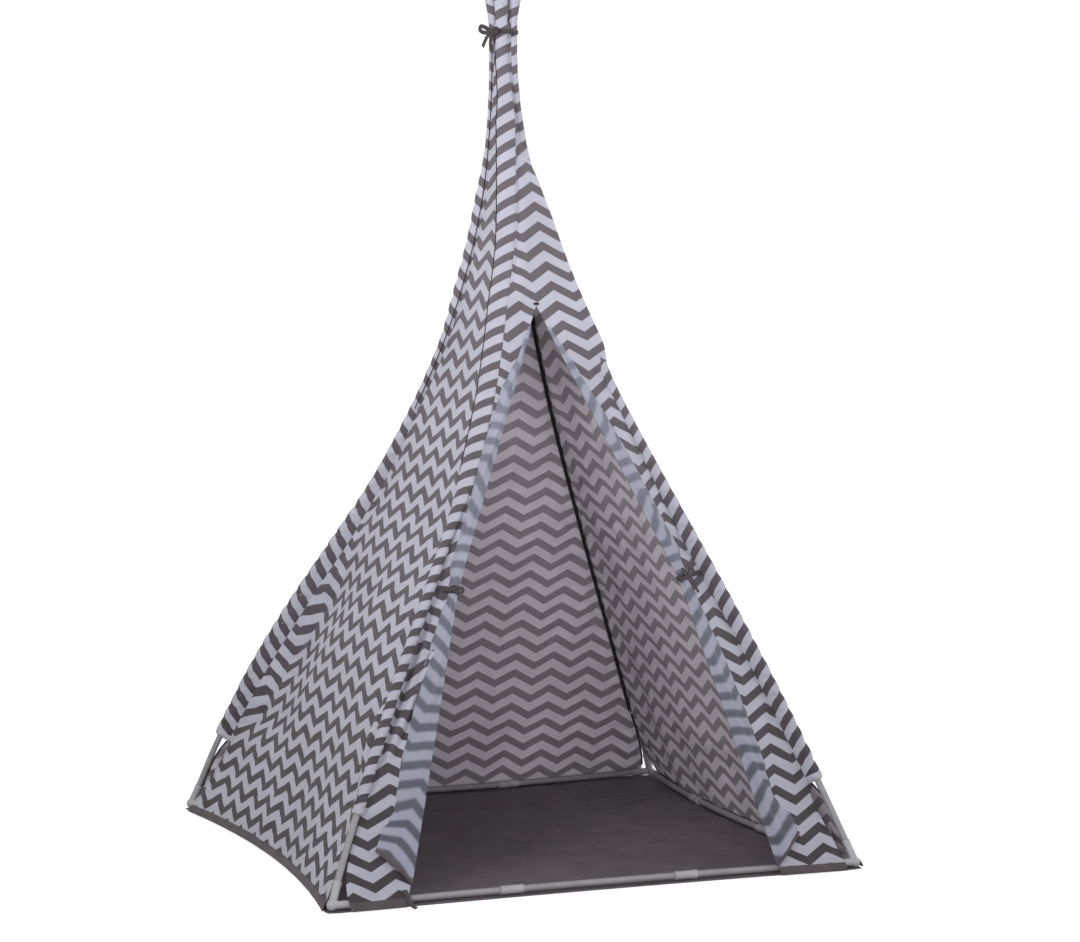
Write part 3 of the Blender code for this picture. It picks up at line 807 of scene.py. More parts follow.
def cloth_piece(name, points, flat, thickness, materials, ring=False, flip=False):
    """A closed sheet with a face and a reverse; the face looks along the grid's normals."""
    rows, columns = points.shape[:2]
    normals = grid_normals(points, ring) * (-1.0 if flip else 1.0)
    verts = np.concatenate([
        (points + normals * thickness / 2.0).reshape(-1, 3),
        (points - normals * thickness / 2.0).reshape(-1, 3),
    ])
    layer = rows * columns
    spans = columns if ring else columns - 1
    faces, flats, slots = [], [], []

    def index(spot):
        return spot[0] * columns + spot[1] % columns

    def add(corners, spots, slot, turned):
        places = [flat[spot] for spot in spots]
        faces.append(tuple(corners[::-1] if turned else corners))
        flats.extend(places[::-1] if turned else places)
        slots.append(slot)

    for row in range(rows - 1):
        for column in range(spans):
            spots = [(row, column), (row, column + 1), (row + 1, column + 1), (row + 1, column)]
            corners = [index(spot) for spot in spots]
            add(corners, spots, 0, flip)
            add([corner + layer for corner in corners], spots, 1, not flip)
    rims = [([(row, column) for column in range(spans + 1)], row > 0) for row in (0, rows - 1)]
    if not ring:
        rims += [([(row, column) for row in range(rows)], column == 0) for column in (0, columns - 1)]
    for path, turned in rims:
        for first, second in zip(path, path[1:]):
            near, far = index(first), index(second)
            add([near + layer, far + layer, far, near], [first, second, second, first], 0, turned != flip)
    return finish_mesh(name, verts, faces, flats, slots, materials)


def sweep(name, centres, firsts, seconds, profile, material, closed=False):
    """A solid with an outline along a path; its flats run round the outline and along the path."""
    outlines = profile if isinstance(profile[0][0], tuple) else [profile] * len(centres)
    count = len(outlines[0])
    verts = [
        centre + first * a + second * b
        for centre, first, second, outline in zip(centres, firsts, seconds, outlines)
        for a, b in outline
    ]
    lengths = lengths_along(centres + centres[:1])
    rounds = lengths_along([Vector(spot) for spot in outlines[0] + outlines[0][:1]])
    faces, flats = [], []
    for row in range(len(centres) if closed else len(centres) - 1):
        low, high = row * count, (row + 1) % len(centres) * count
        for index in range(count):
            following = (index + 1) % count
            faces.append((low + index, low + following, high + following, high + index))
            flats += [(rounds[index], lengths[row]), (rounds[index + 1], lengths[row]),
                      (rounds[index + 1], lengths[row + 1]), (rounds[index], lengths[row + 1])]
    if not closed:
        last = len(verts) - count
        faces += [tuple(range(count))[::-1], tuple(range(last, last + count))]
        flats += outlines[0][::-1] + outlines[-1]
    return finish_mesh(name, verts, faces, flats, [0] * len(faces), [material])


def circle(radius, sides=tube_sides):
    turns = [FULL_TURN * index / sides for index in range(sides)]
    return [(radius * cos(t), radius * sin(t)) for t in turns]


def strap_outline(width, thickness, steps=4):
    """Flat band with rounded edges."""
    points = []
    half, radius = width / 2.0 - thickness / 2.0, thickness / 2.0
    for centre, start in ((half, -90.0), (-half, 90.0)):
        for step in range(steps + 1):
            turn = radians(start + 180.0 * step / steps)
            points.append((centre + radius * cos(turn), radius * sin(turn)))
    return points


def path_frames(centres, hint):
    """Directions square to a path, the first one close to hint."""
    firsts, seconds = [], []
    for index in range(len(centres)):
        ahead = centres[min(index + 1, len(centres) - 1)] - centres[max(index - 1, 0)]
        ahead.normalize()
        guide = hint[index] if isinstance(hint, list) else hint
        firsts.append((guide - ahead * guide.dot(ahead)).normalized())
        seconds.append(ahead.cross(firsts[-1]).normalized())
    return firsts, seconds


def band(name, centres, hint, width, thickness, material, turned=False):
    """A flat band along a path; its width lies along hint, or across it where turned."""
    firsts, seconds = path_frames(centres, hint)
    if turned:
        firsts, seconds = seconds, firsts
    return sweep(name, centres, firsts, seconds, strap_outline(width, thickness), material)


def smooth_path(points, steps=6):
    """Points on a Catmull-Rom curve through the given ones."""
    points = [Vector(p) for p in points]
    padded = [points[0] * 2.0 - points[1]] + points + [points[-1] * 2.0 - points[-2]]
    result = []
    for index in range(1, len(padded) - 2):
        a, b, c, d = padded[index - 1:index + 3]
        for step in range(steps):
            t = step / steps
            result.append(0.5 * (
                (2.0 * b) + (c - a) * t + (2.0 * a - 5.0 * b + 4.0 * c - d) * t * t
                + (3.0 * b - a - 3.0 * c + d) * t ** 3
            ))
    result.append(points[-1])
    return result


# Frame pieces

def build_base_ring(tube, fitting):
    inset = (arm_length * tube_inset) / base_side
    for side in SIDES:
        for index in range(base_sections):
            low = index / base_sections + (inset if index == 0 else fit_gap)
            high = (index + 1) / base_sections - (inset if index == base_sections - 1 else fit_gap)
            shares = [blend(low, high, step / tube_steps) for step in range(tube_steps + 1)]
            centres = [base_point(side, share) for share in shares]
            frames = path_frames(centres, UP)
            piece = sweep(f"tube_{side}_{index + 1}", centres, *frames, circle(tube_radius), tube)
            settle(piece, "tube", f"base_tube_{side}_{index + 1}")
        for index in range(1, base_sections):
            build_joiner(side, index, fitting)


def build_joiner(side, index, fitting):
    """A short sleeve with a chamfer and a raised rim at each end."""
    half = joiner_length / 2.0 / base_side
    end = (
        (-1.0, 0.0, -0.0014), (-1.0, joiner_chamfer, joiner_rim), (-0.86, 0.0, joiner_rim), (-0.8, 0.0, 0.0),
    )
    rows = end + tuple((-mark, -shift, grow) for mark, shift, grow in reversed(end))
    centres = [base_point(side, index / base_sections + half * mark) for mark, shift, grow in rows]
    ahead = (centres[-1] - centres[0]).normalized()
    first = (UP - ahead * UP.dot(ahead)).normalized()
    centres = [centre + ahead * shift for centre, (mark, shift, grow) in zip(centres, rows)]
    outlines = [circle(joiner_radius + grow) for mark, shift, grow in rows]
    frames = [first] * len(rows), [ahead.cross(first)] * len(rows)
    piece = sweep(f"joiner_{side}_{index}", centres, *frames, outlines, fitting)
    settle(piece, "fitting", f"base_joiner_{side}_{index}")


def connector_runs(corner):
    """Directions of a connector's three arms."""
    share = arm_length / base_side
    ends = [
        base_point(side, share if pair[0] == corner else 1.0 - share)
        for side, pair in SIDES.items() if corner in pair
    ]
    ends.append(pole_point(corner, frame_height + arm_length))
    return [(end - corner_point(corner)).normalized() for end in ends]


def build_connectors(fitting):
    """Three moulded arms with rims, blended into a round hub."""
    rim = arm_look_radius + arm_rim / 2.0
    ends = arm_rim_foot, arm_rim_length, arm_chamfer
    spots = (0.0, *(arm_length - end for end in ends), arm_length)
    outlines = [circle(radius) for radius in (arm_look_radius, arm_look_radius, rim, rim, arm_look_radius)]
    for corner in CORNERS:
        centre = corner_point(corner)
        ball = bmesh.new()
        place = Matrix.Translation(centre)
        bmesh.ops.create_uvsphere(ball, u_segments=32, v_segments=16, radius=hub_look_radius, matrix=place)
        hub = link_object(f"connector_{corner}", bpy.data.meshes.new(f"hub_{corner}"))
        ball.to_mesh(hub.data)
        ball.free()
        arms = []
        for index, run in enumerate(connector_runs(corner)):
            first = run.orthogonal().normalized()
            frames = [first] * len(spots), [run.cross(first)] * len(spots)
            centres = [centre + run * spot for spot in spots]
            arms.append(sweep(f"arm_{corner}_{index}", centres, *frames, outlines, fitting))
            union = hub.modifiers.new(arms[-1].name, "BOOLEAN")
            union.operation = "UNION"
            union.solver = "EXACT"
            union.object = arms[-1]
        remesh = hub.modifiers.new("fuse", "REMESH")
        remesh.mode = "VOXEL"
        remesh.voxel_size = connector_voxel
        relax = hub.modifiers.new("fillet", "SMOOTH")
        relax.factor = 0.5
        relax.iterations = 4
        bake_modifiers(hub)
        for arm in arms:
            bpy.data.objects.remove(arm, do_unlink=True)
        hub.data.materials.clear()
        hub.data.materials.append(fitting)
        hub.data.shade_smooth()
        settle(hub, "fitting", f"corner_connector_{corner}")


def bake_modifiers(piece):
    """Replaces the mesh by what its modifiers make of it."""
    bpy.context.view_layer.update()
    evaluated = piece.evaluated_get(bpy.context.evaluated_depsgraph_get())
    mesh = bpy.data.meshes.new_from_object(evaluated)
    piece.modifiers.clear()
    piece.data = mesh


def build_uprights(tube):
    """Bare below the sleeve and hidden inside it above."""
    for corner in CORNERS:
        foot = frame_height + arm_length * pole_foot_share
        heights = [blend(foot, upright_top, step / pole_steps) for step in range(pole_steps + 1)]
        centres = [dressed_point(corner, height) for height in heights]
        firsts, seconds = zip(*(pole_frame(corner, height) for height in heights))
        piece = sweep(f"pole_{corner}", centres, firsts, seconds, circle(tube_radius), tube)
        settle(piece, "tube", *(f"upright_{corner}_{index}" for index in (1, 2, 3, 4)))


# Sleeves

def sleeve_turns(count):
    """Angles round a sleeve, from its inner seam."""
    return [FULL_TURN * index / sleeve_sides - pi / 2.0 for index in range(count)]


def sleeve_ring(corner, height, length, grow=0.0):
    """One outline of the sleeve: round over the pole and narrowing to its gathered inner seam."""
    number = CORNERS.index(corner)
    side, out = pole_frame(corner, height)
    outer, inner, width, gather = sleeve_size(corner, height)
    phase = length / scallop_pitch + 0.22 * soft_noise(length * 7.0, 0.0, number + 3.0)
    swell = abs(sin(pi * phase)) ** 0.7 * (1.0 + 0.25 * soft_noise(length * 15.0, 2.0, number))
    slack = (1.0 - min(swell, 1.0)) * gather
    opened = smooth_share(height, collar_start, collar_top)
    centre = dressed_point(corner, height) + out * (collar_shift * opened)
    taper = min(max((inner - sleeve_depth) / 0.012, 0.0), 1.0)
    hollow = min(max(outer - sleeve_depth, 0.0) * 0.9, 0.0038) * slack
    ring = []
    for turn in sleeve_turns(sleeve_sides):
        lean = sin(turn)
        reach = (outer if lean > 0.0 else inner) - hollow * max(lean, 0.0)
        half = width * (1.0 - taper * 0.45 * max(-lean, 0.0) ** 1.5)
        half -= (half - min(pinch_half, half)) * slack
        half *= 1.0 - 0.35 * slack * taper * (1.0 - max(lean, 0.0))
        crease = 0.001 * soft_noise(turn * 1.7, length * 48.0, number + 9.0) * (1.0 - opened)
        fold = sin(FULL_TURN * (length / scallop_pitch * 2.0 + 0.35 * lean)) * (1.0 - abs(lean))
        across = blend(half + 0.0026 * gather * fold * taper, collar_half, opened) + grow
        along = blend(max(reach, 0.0082) + crease, collar_half, opened) + grow
        ring.append(centre + side * (across * cos(turn)) + out * (along * lean))
    return ring


def ring_girth(corner, height):
    """Distances round the smooth sleeve from its inner seam, centred on its outer side."""
    outer, inner, width, _ = sleeve_size(corner, height)
    total = lengths_along([
        Vector((width * cos(turn), (outer if sin(turn) > 0.0 else inner) * sin(turn)))
        for turn in sleeve_turns(sleeve_sides + 1)
    ])
    return [value - total[-1] / 2.0 for value in total]


def build_sleeves(cloths, pale):
    for number, corner in enumerate(CORNERS):
        heights = [blend(sleeve_end, collar_top, row / (sleeve_rows - 1)) for row in range(sleeve_rows)]
        lengths = lengths_along([pole_point(corner, height) for height in heights])
        rows = list(zip(heights, lengths))
        shift = chevron_period * SLEEVE_PRINT[corner]
        flat = [
            [(shift - girth, v * sleeve_print_stretch + sleeve_print_step * number)
             for girth in ring_girth(corner, height)]
            for height, v in rows
        ]
        points = [sleeve_ring(corner, height, length) for height, length in rows]
        piece = ring_cloth(f"sleeve_{corner}", points, flat, cloths)
        settle(piece, "printed_cloth", f"pole_sleeve_{corner}")
        steps = range(sleeve_hem_steps + 1)
        heights = [
            sleeve_end + step * sleeve_hem_height / sleeve_hem_steps - sleeve_hem_start for step in steps
        ]
        grows = [sleeve_hem_lift + sleeve_hem_bulge * sin(pi * step / sleeve_hem_steps) for step in steps]
        points = [
            sleeve_ring(corner, height, max(height - sleeve_end, 0.0), grow)
            for height, grow in zip(heights, grows)
        ]
        flat = [[(girth, height) for girth in ring_girth(corner, height)] for height in heights]
        settle(ring_cloth(f"sleeve_hem_{corner}", points, flat, [pale, pale]), "printed_cloth")


def ring_cloth(name, points, flat, cloths):
    return cloth_piece(name, np.array(points), np.array(flat), cloth_thickness, cloths, ring=True, flip=True)


def build_seam_line(side, end, start, material):
    """Dark line along the seam where a side wall meets the sleeve."""
    corner = SIDES[side][end]
    turn = 1.0 if end == 0 else -1.0
    centres = []
    for step in range(pole_steps + 1):
        height = blend(start, wall_top - seam_line_end_gap, step / pole_steps)
        _, inner, width, _ = sleeve_size(corner, height)
        seat = seam_line_seat - max(inner - sleeve_depth, 0.0) * 0.8
        offset = level_offset(corner, height, seat, turn * (width + seam_line_lift))
        centres.append(dressed_point(corner, height) + offset)
    frames = path_frames(centres, -side_inward(side))
    outline = circle(seam_line_radius, seam_line_sides)
    settle(sweep(f"seam_{side}_{end}", centres, *frames, outline, material), "dark_ribbon")


# Walls

def wall_relief(side, u, v, to_left, to_right, height):
    """How far the cloth stands out from its taut shape."""
    seed = {"front": 11.0, "right": 23.0, "back": 37.0, "left": 41.0}[side]
    anchored = smooth_share(min(to_left, to_right), 0.0, 0.014) * smooth_share(height, 0.0, 0.03)
    gathers = 0.0
    for end, distance in ((0, to_left), (1, to_right)):
        reach = 0.042 * (1.0 + 0.5 * soft_noise(v * 6.0, 3.0 * end, seed))
        wander = 0.35 * soft_noise(distance * 9.0, v * 3.0, seed + 2.0)
        wave = cos(FULL_TURN * ((v - 0.3 * distance) / scallop_pitch + wander) + 1.7 * end)
        gathers += 0.0042 * wave * exp(-distance / reach) * by_height(GATHERS[SIDES[side][end]], height)
    waves = 0.0055 * soft_noise(u * 6.0, v * 1.2, seed) + 0.0026 * soft_noise(u * 15.0, v * 4.0, seed + 5.0)
    creases = 0.0011 * soft_noise(u * 38.0, v * 24.0, seed + 8.0)
    drapes = 0.0018 * max(soft_noise(u * 20.0 + v * 3.0, v * 2.0, seed + 12.0), 0.0)
    if side != "front":
        waves *= 1.5
        creases *= 2.0
        drapes *= 1.6
    narrow = smooth_share(to_left + to_right, 0.04, 0.3)
    total = gathers + (waves + creases + drapes) * (0.25 + 0.75 * narrow)
    if side == "left":
        total += 0.012 * hump(height, 0.22, 0.54, 0.86) * hump(to_left, 0.05, 0.45, 0.9)
        total += left_wall_folds(v, to_left, to_right, height, seed)
    if side == "front":
        total += front_wall_folds(v, to_left, height)
    return anchored * total


def left_wall_folds(v, to_back, to_front, height, seed):
    """The deep fold beside the back pole, facing the front, and the roll beside the front pole."""
    deep = smooth_share(height, 0.17, 0.27) * (1.0 - smooth_share(height, 0.5, 0.68))
    crease_at = 0.043 * (1.0 + 0.1 * soft_noise(v * 16.0, 5.0, seed))
    fall = to_back / crease_at if to_back < crease_at else 1.0 - smooth_share(to_back, crease_at, 0.42)
    belly = -0.03 * deep * fall
    belly += 0.004 * deep * hump(to_back, 0.004, 0.022, 0.042) * cos(FULL_TURN * v / scallop_pitch)
    to_front += 0.01 * soft_noise(v * 7.0, 1.0, seed)
    roll = 0.017 * hump(height, 0.16, 0.3, 0.46) * hump(to_front, 0.004, 0.03, 0.07)
    crease = -0.006 * hump(height, 0.1, 0.26, 0.5) * hump(to_front, 0.06, 0.082, 0.11)
    return belly + roll + crease


def front_wall_folds(v, to_left, height):
    """The puckered ridge and groove beside the front left pole, and the creases below the neck."""
    centre = blend(0.02, 0.046, smooth_share(height, 0.28, 0.52))
    puckers = 1.0 + 0.4 * cos(FULL_TURN * v / scallop_pitch + 1.2)
    ridge = 0.015 * puckers * hump(height, 0.22, 0.4, 0.6) * bell(to_left, centre, 0.0075)
    groove = -0.016 * hump(height, 0.24, 0.42, 0.6) * bell(to_left, centre + 0.016, 0.006)
    groove -= 0.019 * hump(height, 0.2, 0.42, 0.68) * bell(to_left, 0.009, 0.0065)
    crease = -0.006 * hump(height, 1.18, 1.42, 1.62) * bell(to_left, 0.01, 0.006)
    swag = 0.004 * hump(height, 1.02, 1.22, 1.5) * bell(to_left, 0.03, 0.014)
    return ridge + groove + crease + swag


def wall_heights():
    return [blend(hem_height, wall_top, row / (wall_rows - 1)) for row in range(wall_rows)]


def centre_lengths(side, heights):
    return lengths_along([wall_point(side, 0.5, height) for height in heights])


def wall_grid(side, heights, spots_at):
    """A wall's cloth and its flat places; spots_at gives a row's taut points, places across and looseness."""
    rows = [spots_at(height) for height in heights]
    lengths = centre_lengths(side, heights)
    points = np.array([[point for point, u, loose in row] for row in rows])
    flat = np.array([[(u, length) for point, u, loose in row] for row, length in zip(rows, lengths)])
    normals = grid_normals(points)
    normals *= np.sign(np.sum(normals * -np.array(side_inward(side)), axis=2, keepdims=True))
    for row, height in enumerate(heights):
        width = wall_width(side, height)
        valley = neck_valley * smooth_share(height, 1.45, 1.62)
        for column, (_, u, loose) in enumerate(rows[row]):
            to_left, to_right = u + width / 2.0, width / 2.0 - u
            push = wall_relief(side, u, lengths[row], to_left, to_right, height) * loose
            push -= valley * 4.0 * to_left * to_right / max(width * width, 1e-9)
            points[row, column] += normals[row, column] * push
    return points, flat


def hang_wall(side, part, points, flat, spare, cloths, hem):
    """One wall's cloth with its hem band."""
    placed = np.array([[print_place(part, u, v) for u, v in row] for row in flat])
    flip = part == "front_right"
    piece = cloth_piece(f"wall_cloth_{part}", points, placed, cloth_thickness, cloths, flip=flip)
    lower_band = build_hem_band(side, f"hem_{part}", points, hem)
    widths = np.abs(flat[:, -1, 0] - flat[:, 0, 0])
    area = float(np.sum((widths[1:] + widths[:-1]) / 2.0 * np.diff(flat[:, 0, 1])))
    settle(piece, "printed_cloth", f"wall_{side}")


def build_hem_band(side, name, points, material):
    """Folded binding over a wall's lower edge, lying on the cloth's lowest rows."""
    centres, ups, outs = [], [], []
    last = points.shape[1] - 1
    for column in range(last + 1):
        low, high = Vector(points[0, column]), Vector(points[2, column])
        up = (high - low).normalized()
        run = Vector(points[0, min(column + 1, last)]) - Vector(points[0, max(column - 1, 0)])
        out = run.cross(up).normalized()
        if out.dot(side_inward(side)) > 0.0:
            out = -out
        ripple = 0.001 * soft_noise(low.x * 24.0, low.y * 24.0, 4.0)
        centres.append(low + up * (hem_band_height / 2.0) + out * (hem_band_lift + ripple))
        ups.append(up)
        outs.append(out)
    outline = strap_outline(hem_band_height, hem_band_thickness)
    return settle(sweep(name, centres, ups, outs, outline, material), "mat_nylon")


def build_plain_walls(cloths, hem):
    evens = [column / (wall_columns - 1) for column in range(wall_columns)]
    shares = [blend(even, (1.0 - cos(pi * even)) / 2.0, 0.6) for even in evens]
    for side in ("right", "back", "left"):
        def spots_at(height):
            width = wall_width(side, height)
            return [(wall_point(side, share, height), (share - 0.5) * width, 1.0) for share in shares]
        hang_wall(side, side, *wall_grid(side, wall_heights(), spots_at), 0.0, cloths, hem)


def half_spots(hand, height):
    """A row from the pole's seam to the doorway's edge, or to the middle seam above the doorway."""
    outer = wall_edge("front", HANDS.index(hand), height)
    inner = door_edge(hand, height) if height < apex_height else middle_point(height)
    half = wall_width("front", height) / 2.0
    spots = []
    for column in range(leg_columns):
        point = blend(outer, inner, column / (leg_columns - 1))
        reach = (point - outer).length
        loose = 1.0 if height > apex_height + 0.05 else smooth_share((inner - point).length, 0.0, 0.03)
        spots.append((point, reach - half if hand == "left" else half - reach, loose))
    return spots


def build_front_wall(cloths, hem):
    """Two halves, sewn together above the doorway and hanging apart beside it."""
    heights = sorted([h for h in wall_heights() if abs(h - apex_height) > 0.003] + [apex_height])
    halves = [wall_grid("front", heights, partial(half_spots, hand)) for hand in HANDS]
    (left, _), (right, _) = halves
    sewn = np.array(heights) >= apex_height
    left[sewn, -1] = right[sewn, -1] = (left[sewn, -1] + right[sewn, -1]) / 2.0
    for hand, (points, flat) in zip(HANDS, halves):
        hang_wall("front", f"front_{hand}", points, flat, middle_seam_spare, cloths, hem)


# Curtains

def flap_axes(hand, high, low, height):
    """Direction down the fold, direction from it to the pole, and the outward normal."""
    fold = (low - high).normalized()
    lie = wall_edge("front", HANDS.index(hand), height) - door_edge(hand, height)
    lie = (lie - fold * lie.dot(fold)).normalized()
    normal = fold.cross(lie)
    return fold, lie, -normal if normal.y > 0.0 else normal


def flap_profile(across, width, height, seed):
    """Place of the cloth beside the fold: it rolls over the wall's edge and lies down on it, pleated."""
    loose = blend(0.3, 1.0, smooth_share(width, 0.004, 0.026))
    if across < flap_roll:
        turn = pi * (1.0 - across / flap_roll)
        x, y = -flap_edge_roll * sin(turn), flap_lift / 2.0 * (1.0 + cos(turn))
    else:
        share = (across - flap_roll) / (1.0 - flap_roll)
        bulge = flap_bulge * loose * (1.0 + 0.6 * soft_noise(height * 8.0, across * 2.0, seed))
        bulge *= blend(1.0, 0.55, min(width / 0.06, 1.0))
        x = width * share
        y = flap_lift + bulge * sin(pi * share) ** 0.8 - (flap_lift - 0.0019) * share ** 3
    pinch = 1.0 - smooth_share(abs(height - waist_height), 0.0, flap_pinch_reach)
    pleat = bell(across, 0.42 + 0.1 * soft_noise(height * 5.0, 3.0, seed), 0.13)
    pleat += 0.6 * bell(across, 0.8, 0.1)
    wave = 0.005 * pleat * min(width / 0.05, 1.0) * loose
    wave += 0.0014 * sin(FULL_TURN * (across * 2.0 + height * 6.0)) * (1.0 - pinch) * loose
    wave += 0.003 * pinch * cos(pi * 5.0 * across)
    return x, y + max(wave, -0.0006) * sin(pi * across)


def flap_print(hand, heights, lengths, height, away):
    """Flat coordinates of the cloth turned back over the doorway's edge, as if it were unfolded."""
    spots = []
    for level in (height - 0.02, height + 0.02):
        reach = (door_edge(hand, level) - wall_edge("front", HANDS.index(hand), level)).length
        half = wall_width("front", level) / 2.0
        across = reach - half if hand == "left" else half - reach
        spots.append(Vector((across, np.interp(level, heights, lengths))))
    run = (spots[1] - spots[0]).normalized()
    inward = Vector((run.y, -run.x)) if hand == "left" else Vector((-run.y, run.x))
    return (spots[0] + spots[1]) / 2.0 + inward * away


def build_flap(hand, part, high, low, cloths, hem):
    """An upper or lower piece of a curtain, folded along the doorway's edge."""
    lower = part == "lower"
    drop, hem_rise = FLAP_HEMS[hand]
    run = (low - high).normalized()
    top = high.z + run.z * (flap_waist_gap if lower else flap_apex_gap)
    bottom = low.z + run.z * (drop if lower else -flap_waist_gap)
    seed = (60.0 if lower else 50.0) + 7.0 * HANDS.index(hand)
    heights = wall_heights()
    lengths = centre_lengths("front", heights)
    points = np.zeros((flap_rows, flap_columns, 3))
    flat = np.zeros((flap_rows, flap_columns, 2))
    for row in range(flap_rows):
        share = row / (flap_rows - 1)
        height = blend(top, bottom, share)
        fold, lie, normal = flap_axes(hand, high, low, height)
        width = by_height(FLAP_WIDTHS[hand], height) * (1.0 + 0.04 * soft_noise(height * 17.0, 0.0, seed))
        rise = hem_rise * smooth_share(share, 0.72, 1.0) if lower else 0.0
        for column in range(flap_columns):
            across = column / (flap_columns - 1)
            x, y = flap_profile(across, width, height, seed)
            lift = rise * max(x, 0.0) / max(width, 1e-6)
            points[row, column] = door_edge(hand, height) + lie * x + normal * y - fold * lift
            unfolded = flap_print(hand, heights, lengths, height, across * (width + flap_unfolded_roll))
            flat[row, column] = print_place(f"front_{hand}", *unfolded)
            flat[row, column] += (0.0, lift * 0.9)
    hinge = f"curtain_{hand}_{part}"
    piece = cloth_piece(hinge, points, flat, flap_thickness, cloths, flip=hand == "right")
    hems = [build_flap_hem(hand, points, hem)] if lower else []
    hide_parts(f"door_flap_{hand}_{part}")
    lie = flap_axes(hand, high, low, (top + bottom) / 2.0)[1]
    for moving in [piece] + hems:
        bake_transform(moving)


def build_flap_hem(hand, points, material):
    """Dark binding along a curtain's lower edge."""
    centres = [Vector(point) for point in points[-1]]
    ups = [(Vector(above) - centre).normalized() for above, centre in zip(points[-4], centres)]
    centres = [centre + up * (flap_hem_band / 2.0 - flap_hem_drop) for centre, up in zip(centres, ups)]
    piece = band(f"curtain_hem_{hand}", centres, ups, flap_hem_band, flap_hem_thickness, material)
    return piece


def build_flaps(cloths, hem):
    for hand in HANDS:
        waist = Vector(WAISTS[hand])
        build_flap(hand, "upper", Vector(APEX), waist, cloths, hem)
        build_flap(hand, "lower", waist, Vector(FEET[hand]), cloths, hem)


# Ribbons, tapes and straps

def build_knot(name, centre, axes, radius, material):
    """Small wrapped knot: a lumpy ball."""
    first, second, third = axes
    rings, sides = knot_rings, knot_sides
    verts, faces, flats = [], [], []
    for ring in range(rings + 1):
        tilt = pi * ring / rings
        pinch = max(sin(tilt), 0.001)
        for side in range(sides):
            turn = FULL_TURN * side / sides
            size = radius * (1.0 + 0.1 * sin(3.0 * turn + 4.0 * tilt) + 0.06 * sin(7.0 * tilt))
            verts.append(
                centre + first * (size * 1.15 * pinch * cos(turn))
                + second * (size * cos(tilt)) + third * (size * 0.8 * pinch * sin(turn))
            )
    for ring in range(rings):
        low, high = ring * sides, (ring + 1) * sides
        for side in range(sides):
            after = (side + 1) % sides
            faces.append((low + side, low + after, high + after, high + side))
            flats += [((side + a) * 0.002, (ring + b) * 0.001) for a, b in ((0, 0), (1, 0), (1, 1), (0, 1))]
    faces += [tuple(range(sides))[::-1], tuple(range(rings * sides, len(verts)))]
    flats += [(0.0, 0.0)] * (2 * sides)
    settle(finish_mesh(name, verts, faces, flats, [0] * len(faces), [material], 80.0), "dark_ribbon")


def build_ends(name, knot_at, axes, ends, width, thickness, material):
    """Loops and tails of a ribbon, each measured along the axes from its knot."""
    for index, end in enumerate(ends):
        centres = smooth_path([knot_at + axes[0] * a + axes[1] * b + axes[2] * c for a, b, c in end])
        piece = band(f"{name}_{index + 1}", centres, axes[2], width, thickness, material, turned=True)
        settle(piece, "dark_ribbon")


def build_door_ties(ribbon):
    over, under = 0.0072, -0.0036
    for hand in HANDS:
        waist = Vector(WAISTS[hand])
        fold, lie, normal = flap_axes(hand, Vector(APEX), Vector(FEET[hand]), waist_height)
        reach = (waist - wall_edge("front", HANDS.index(hand), waist_height)).length + 0.004
        route = [
            (reach, 0.004), (reach * 0.75, 0.0052), (reach * 0.5, over), (reach * 0.2, over),
            (-0.002, 0.0062), (-0.0048, 0.0025), (-0.004, -0.0022), (0.004, -0.0034), (reach * 0.6, under),
        ]
        centres = smooth_path([waist + lie * x + normal * y for x, y in route])
        piece = band(f"ribbon_{hand}", centres, fold, ribbon_width, ribbon_thickness, ribbon)
        settle(piece, "dark_ribbon", f"door_tie_{hand}")
        knot_at = waist + lie * (0.006 if hand == "left" else 0.02) + normal * (over + 0.003)
        axes = (lie, fold, normal)
        build_knot(f"ribbon_knot_{hand}", knot_at, axes, door_knot_radius, ribbon)
        size = door_end_width, door_end_thickness
        build_ends(f"ribbon_end_{hand}", knot_at, axes, RIBBON_ENDS[hand], *size, ribbon)


def neck_radius(turn):
    """Outline of the four sleeves at the tie, as the ribbon wraps them."""
    spread = radians(90.0)
    start = CORNER_HEADINGS["front_left"] + neck_twist
    away = abs((turn - start + spread / 2.0) % spread - spread / 2.0)
    return (neck_reach + sleeve_depth + neck_ribbon_lift) * (1.0 - 0.1 * (away / (spread / 2.0)) ** 2)


def build_top_tie(ribbon):
    turns = [FULL_TURN * step / neck_ribbon_sides for step in range(neck_ribbon_sides)]
    outs = [polar(turn) for turn in turns]
    centres = [
        out * neck_radius(turn) + UP * (tie_height + neck_ribbon_wave * sin(turn * 2.0))
        for out, turn in zip(outs, turns)
    ]
    outline = strap_outline(neck_ribbon_width, neck_ribbon_thickness)
    piece = sweep("neck_ribbon", centres, [UP] * len(outs), outs, outline, ribbon, closed=True)
    settle(piece, "dark_ribbon", "top_tie")
    heading = CORNER_HEADINGS["front_left"] - bow_turn
    out = polar(heading)
    knot_at = out * (neck_radius(heading) + 0.003) + UP * tie_height
    axes = (Vector((-out.y, out.x, 0.0)), UP, out)
    build_knot("neck_knot", knot_at, axes, neck_knot_radius, ribbon)
    size = neck_ribbon_width, neck_end_thickness
    build_ends("neck_ribbon_end", knot_at, axes, RIBBON_ENDS["neck"], *size, ribbon)


